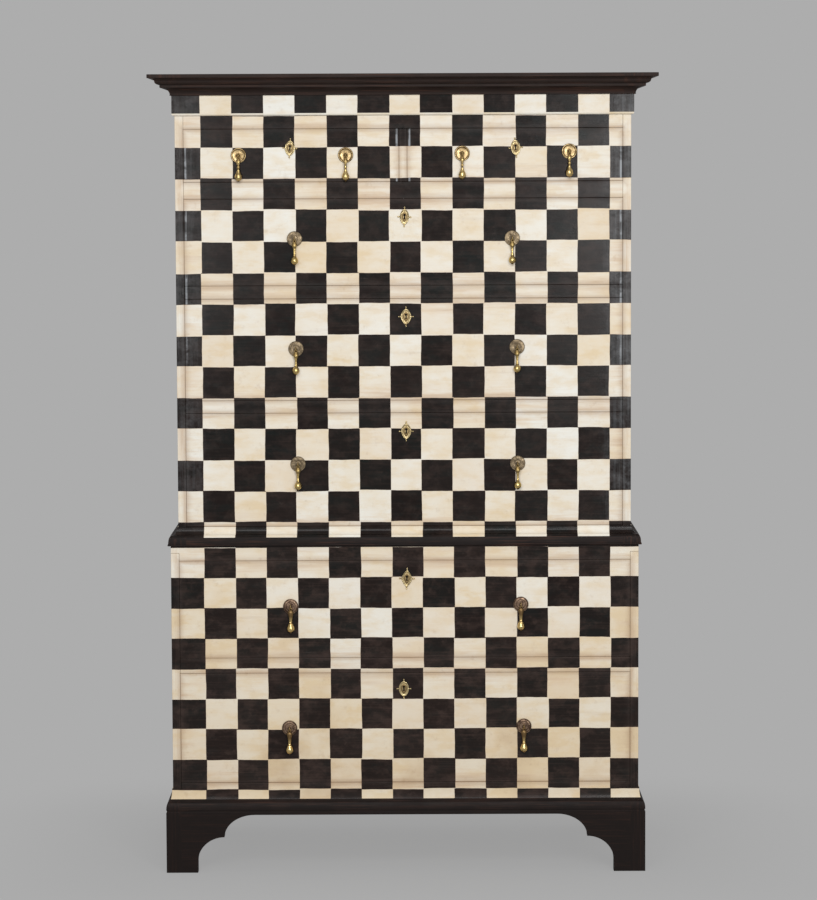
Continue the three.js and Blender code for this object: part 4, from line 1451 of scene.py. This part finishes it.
def add_front(name, front, box, rows, lock_x, key_level):
    """The drawer front, cut for the dovetails of its sides, for its lock and for the key."""
    low, high = front
    # Coats of paint on its edges have half filled the gap round it
    build = Vector((PAINT_BUILD, 0, PAINT_BUILD))
    board = piece_from(box_shape(low - build, high + build), name + "_board", CASE_PAINT["x"])
    bevel_face(board, low.y)
    sockets = []
    for outer, inward in ((box[0].x, 1), (box[1].x, -1)):
        inner = outer + inward * DRAWER_WALL
        across = sorted((inner + inward * SOCKET_SLACK, outer - inward * SOCKET_OPEN))
        for outline in tails(high.y + 1 * MM, high.y - TAIL_LENGTH, *rows, SOCKET_SLACK):
            sockets.append(prism(outline, "x", *across))
    left, right = lock_x - LOCK_WIDTH / 2, lock_x + LOCK_WIDTH / 2
    seat = high.y - (LOCK_DEPTH + LOCK_SLACK)
    pocket_low = Vector((left - LOCK_SLACK, seat, high.z - LOCK_HEIGHT))
    pocket_high = Vector((right + LOCK_SLACK, high.y + CUT_OUT, high.z + CUT_OUT))
    pocket = box_shape(pocket_low, pocket_high)
    recess_low = Vector((left - LOCK_LIP - CLEAR, high.y - LOCK_DEPTH - LOCK_LIP / 2, high.z - SELVEDGE))
    recess_high = Vector((right + LOCK_LIP + CLEAR, high.y + CUT_OUT, high.z + CUT_OUT))
    recess = box_shape(recess_low, recess_high)
    hole = prism(keyhole(lock_x, key_level + KEY_ABOVE, LOCK_SLACK), "y", low.y - CUT_OUT, seat + 1 * MM)
    cuts = {"hole": hole, "recess": recess, "sockets": joined(*sockets, pocket)}
    combined(board, [piece_from(cut, cut_name, IRON) for cut_name, cut in cuts.items()], "DIFFERENCE")
    finished(board, name, "painted_wood", name + "_front")


def bevel_face(board, face):
    """Rounds over the edges of a board's painted face, and breaks its other edges a little."""
    shape = bmesh.new()
    shape.from_mesh(board.data)
    edges = [edge for edge in shape.edges if all(abs(corner.co.y - face) < 1e-6 for corner in edge.verts)]
    bmesh.ops.bevel(shape, geom=edges, offset=FACE_ROUND, segments=5, profile=0.5, affect="EDGES")
    back_edges = [edge for edge in shape.edges if edge.calc_face_angle(0) > 1.2]
    bmesh.ops.bevel(shape, geom=back_edges, offset=EDGE_ROUND, segments=1, profile=0.5, affect="EDGES")
    shape.to_mesh(board.data)
    shape.free()


def add_sides(name, start, box, rows, back_rows):
    """The two sides of a drawer, dovetailed to the front, and to the back above the bottom."""
    low, high = box
    back_start = high.y - DRAWER_WALL
    outline = [(start, low.z)]
    for tail in tails(start, start - TAIL_LENGTH + TAIL_SHORT, *rows):
        outline += tail
    outline += [(start, high.z), (back_start, high.z)]
    for tail in reversed(tails(back_start, high.y, *back_rows)):
        outline += reversed(tail)
    outline += [(back_start, low.z + DRAWER_BOTTOM_TOP), (high.y, low.z + DRAWER_BOTTOM_TOP), (high.y, low.z)]
    left = prism(outline, "x", low.x, low.x + DRAWER_WALL)
    right = prism(outline, "x", high.x - DRAWER_WALL, high.x)
    sides = piece_from(joined(left, right), name + "_sides", BARE["y"])
    keep_share(sides.data, lambda spot: SIDE_TONE)
    finished(sides, name, "bare_wood", name + "_box")


def add_back(name, box, back_rows):
    """The back of a drawer, cut for the dovetails of its sides."""
    low, high = box
    start = high.y - DRAWER_WALL
    back_low = Vector((low.x, start + CLEAR, low.z + DRAWER_BOTTOM_TOP + TAIL_SHORT))
    back = piece_from(box_shape(back_low, high), name + "_back", BARE["x"])
    inward = DRAWER_WALL + SOCKET_SLACK
    sockets = []
    for across in ((low.x - CUT_OUT, low.x + inward), (high.x - inward, high.x + CUT_OUT)):
        for outline in tails(start - 1 * MM, high.y + 2 * MM, *back_rows, SOCKET_SLACK):
            sockets.append(prism(outline, "x", *across))
    combined(back, [piece_from(joined(*sockets), "sockets", IRON)], "DIFFERENCE")
    finished(back, name, "bare_wood", name + "_box")


def add_bottom(name, start, box, seed):
    """The bottom of a drawer, between its sides and under its back."""
    low, high = box
    inward = DRAWER_WALL + CLEAR
    bottom_low = Vector((low.x + inward, start + CLEAR, low.z + DRAWER_RISE))
    bottom_high = Vector((high.x - inward, high.y, low.z + DRAWER_BOTTOM_TOP))
    stray = (0, 0, BOTTOM_STRAY)
    bottom = planks(name + "_bottom", bottom_low, bottom_high, stray, BOTTOM_PLANK, BARE["y"], seed)
    finished(bottom, name, "bare_wood", name + "_box")


def add_drawer(name, tail_count, key_place, escutcheon):
    """A drawer with its lock and escutcheon."""
    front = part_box(name + "_front")
    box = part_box(name + "_box")
    tail_low, tail_high = box[0].z + TAILS_FROM, box[1].z - TAILS_BELOW_TOP
    rows = (tail_low, tail_high, tail_count)
    back_rows = (tail_low + DRAWER_BOTTOM_TOP, tail_high, tail_count)
    inside = front[1].y
    add_front(name, front, box, rows, *key_place)
    add_sides(name, inside, box, rows, back_rows)
    add_back(name, box, back_rows)
    add_bottom(name, inside, box, len(name) + tail_count)
    add_lock(name, key_place[0], front[1].z, inside)
    add_escutcheon(name, *key_place, front[0].y, *escutcheon)


# The pulls

def rose_shape(kind, place):
    """A round plate behind a pull: plain, or with flutes or scallops pressed into it."""

    def in_band(out, middle, half):
        return max(0.0, 1 - abs(out / ROSE_RADIUS - middle) / half)

    def flutes(turn, out):
        count, depth, *band = FLUTES
        return -depth * in_band(out, *band) * (0.5 + 0.5 * math.cos(turn * count)) ** 3

    def scallops(turn, out):
        count, depth, *band = SCALLOPS
        return -depth * in_band(out, *band) * abs(math.cos(turn * count / 2))

    relief = {"bright": None, "aged": flutes, "dark": scallops}[kind]
    outline = [(out * ROSE_RADIUS, up * ROSE_RIM) for out, up in ROSE_SHARES[kind] + ROSE_BOSS]
    return turned(outline, ROSE_SIDES, place, "y", relief)


def wire_path(place, inside):
    """The wire's legs come through the drawer front and are bent over inside. Its ring holds the drop."""
    ring = arc((place.y, place.z), (LOOP_RADIUS, LOOP_RADIUS), LEG_TURN, 1 - LEG_TURN, 28)
    spread = LOOP_RADIUS * math.sin(2 * math.pi * LEG_TURN)
    back = inside + WIRE_RADIUS
    upper = arc((back - LEG_BEND, place.z + spread + LEG_BEND), (LEG_BEND, LEG_BEND), 0, -0.25, 4)
    leg = [(back, place.z + spread + LEG_LENGTH), *upper]
    lower = [(y, 2 * place.z - z) for y, z in reversed(leg)]
    return [Vector((place.x, y, z)) for y, z in [*leg, *ring, *lower]]


def drop_shape(kind):
    """A turned drop with the flat eye that hangs on the wire, drawn with the ring's centre at the origin."""
    shares = [(out, -down) for down, out in DROP_SHARES[kind]]
    line = smooth_profile(shares, 6)
    profile = [(0, line[0][1])] + line
    outline = [(max(out, 0) * BALL_RADIUS, up * DROP_LENGTH - LOOP_RADIUS) for out, up in profile]
    outline[-1] = (0, outline[-1][1])

    def flatten(level):
        down = (-level - LOOP_RADIUS) / DROP_LENGTH
        return EYE_FLAT + (1 - EYE_FLAT) * min(max(down / FLAT_END, 0), 1)

    body = turned(outline, 40, Vector((0, 0, 0)), "z", None, flatten)
    half = EYE_THICKNESS / 2
    section = [
        (EYE_HOLE, EYE_ROUND - half), (EYE_HOLE + EYE_ROUND, -half), (EYE_RADIUS - EYE_ROUND, -half),
        (EYE_RADIUS, EYE_ROUND - half), (EYE_RADIUS, half - EYE_ROUND), (EYE_RADIUS - EYE_ROUND, half),
        (EYE_HOLE + EYE_ROUND, half), (EYE_HOLE, half - EYE_ROUND), (EYE_HOLE, EYE_ROUND - half),
    ]
    eye = turned(section, 36, Vector((0, 0, -LOOP_RADIUS - EYE_HANG)), "y")
    piece = piece_from(body, "drop_" + kind, IRON)
    combined(piece, [piece_from(eye, "eye", IRON)], "UNION")
    mesh = piece.data
    lowest = min(corner.co.z for corner in mesh.vertices)
    highest = max(corner.co.z for corner in mesh.vertices)
    keep_share(mesh, lambda spot: (highest - spot.z) / (highest - lowest))
    bpy.data.objects.remove(piece)
    return mesh


def add_pulls(name, kind, drop_mesh):
    """A drawer's two pulls: roses, wire loops and drops."""
    slot = {"bright": "bright_brass", "aged": "aged_brass", "dark": "dark_brass"}[kind]
    drop_finish = DROP_FINISHES[kind]
    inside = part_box(name + "_front")[1].y
    for number in ("1", "2"):
        node = f"{name}_rose_{number}"
        low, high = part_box(node)
        middle = (low + high) / 2
        seat = Vector((middle.x, high.y, middle.z))
        ring = Vector((middle.x, low.y + WIRE_RADIUS + LOOP_RADIUS, middle.z))
        rose = piece_from(rose_shape(kind, seat), f"{name}_plate_{number}", ROSE_FINISHES[kind])
        keep_share(rose.data, lambda spot: math.hypot(spot.x - seat.x, spot.z - seat.z) / ROSE_RADIUS)
        finished(rose, name, slot, node, angle=60)
        wire = line_piece(f"{name}_wire_{number}", wire_path(ring, inside))
        WIRE.grow(wire, drop_finish, Radius=WIRE_RADIUS, Sides=10)
        finished(wire, name, slot, node, angle=60)
        drop = f"{name}_drop_{number}"
        mesh = drop_mesh.copy()
        mesh.transform(Matrix.Translation(ring))
        mesh.materials.clear()
        mesh.materials.append(drop_finish)
        hanging = bpy.data.objects.new(f"{name}_hanging_{number}", mesh)
        bpy.context.scene.collection.objects.link(hanging)
        finished(hanging, drop, slot, drop, angle=50)


DRAWERS = [name[:-6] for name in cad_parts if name.endswith("_front")]

add_camera()
add_studio()

REPEAT = repeat_tree()
WIRE = wire_tree()
CASE_PAINT = {axis: painted("case_paint_" + axis, axis) for axis in "xyz"}
MOULDING_PAINT = painted("moulding_paint", bare=False, gaps=False)
BARE = {axis: bare_wood("bare_wood_" + axis, axis) for axis in "xyz"}
IRON = iron("old_iron")
# A ring at share 1 darkens a rose's outer edge where it meets the front: dirt and painted shade. The other
# rings are patina
ROSE_FINISHES = {
    "bright": brass("bright_rose_brass", BRASS_ROSE, BRASS_OLIVE, 0.56, 0.26, [
        (0.12, 0.14, 0.9), (0.32, 0.07, 0.6), (0.79, 0.07, 0.9), (1, 0.09, 1),
    ]),
    "aged": brass("aged_rose_brass", BRASS_GREY, BRASS_GREY_DARK, 0.5, 0.3, [
        (0.38, 0.06, 0.8), (0.9, 0.04, 0.7), (1, 0.07, 1),
    ]),
    "dark": brass("dark_rose_brass", BRASS_BROWN, BRASS_BROWN_DARK, 0.52, 0.3, [
        (0.2, 0.1, 0.7), (0.58, 0.05, 1), (0.88, 0.05, 1), (1, 0.05, 0.8),
    ]),
}
# The last ring of each drop darkens the underside of its ball: painted shade
DROP_FINISHES = {
    "bright": brass("bright_drop_brass", BRASS_GOLD, BRASS_OLIVE, 0.58, 0.2, [
        (0.1, 0.16, 0.9), (0.36, 0.06, 0.75), (0.5, 0.05, 0.8), (0.97, 0.05, 0.9),
    ]),
    "aged": brass("aged_drop_brass", BRASS_WARM, BRASS_OLIVE, 0.6, 0.2, [
        (0.1, 0.2, 0.75), (0.29, 0.07, 0.6), (0.65, 0.035, 0.9), (0.97, 0.05, 0.9),
    ]),
    "dark": brass("dark_drop_brass", BRASS_GOLD, BRASS_UMBER, 0.64, 0.14, [
        (0.2, 0.36, 0.9), (0.62, 0.035, 0.8), (0.97, 0.05, 0.9),
    ]),
}
# Its ring at share 1 darkens the edge where it meets the front: dirt and painted shade. The other is patina
# in its dish
ESCUTCHEON_BRASS = brass("escutcheon_brass", BRASS_PLATE, BRASS_OLIVE, 0.6, 0.24, [
    (0.45, 0.32, 0.85), (1, 0.04, 0.8),
])

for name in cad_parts:
    _, _, board = name.partition("_")
    if board in ("left_side", "right_side", "partition"):
        case_board(name, CASE_PAINT["z"])
    elif board.startswith(("top_board", "bottom_board", "dustboard")):
        case_board(name, CASE_PAINT["x"])

add_backs()
add_cornice()
add_waist()
add_base()

# Each drawer: dovetails on a side, its keyhole's place, its escutcheon and its pulls. An escutcheon is its
# outline's power, where 2 is an oval and less is more pointed, its lean in degrees, its width and its height
FITTINGS = {
    "short_drawer_left": (3, (-0.243, 1.571), (1.8, 4, 0.022, 0.033), "bright"),
    "short_drawer_right": (3, (0.242, 1.5702), (1.85, -5, 0.021, 0.033), "bright"),
    "upper_drawer_1": (4, (0.0025, 1.4227), (1.8, 2, 0.02, 0.034), "aged"),
    "upper_drawer_2": (5, (0.005, 1.208), (1.7, 0, 0.0235, 0.034), "aged"),
    "upper_drawer_3": (5, (0.0045, 0.960), (1.65, 0, 0.0225, 0.034), "aged"),
    "lower_drawer_1": (4, (0.0045, 0.6415), (1.35, 2, 0.0235, 0.037), "dark"),
    "lower_drawer_2": (5, (-0.003, 0.4006), (1.9, 0, 0.0225, 0.0335), "dark"),
}
for name, (tail_count, key_place, escutcheon, _) in FITTINGS.items():
    add_drawer(name, tail_count, key_place, escutcheon)
DROP_MESHES = {kind: drop_shape(kind) for kind in DROP_SHARES}
for name, (_, _, _, kind) in FITTINGS.items():
    add_pulls(name, kind, DROP_MESHES[kind])

# The CAD's own pieces
for name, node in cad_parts.items():
    if "_rose_" in name or "_drop_" in name:
        finish = IRON
    elif name.endswith("_box"):
        finish = BARE["y"]
    else:
        finish = CASE_PAINT["x"]
    node.data.materials.clear()
    node.data.materials.append(finish)
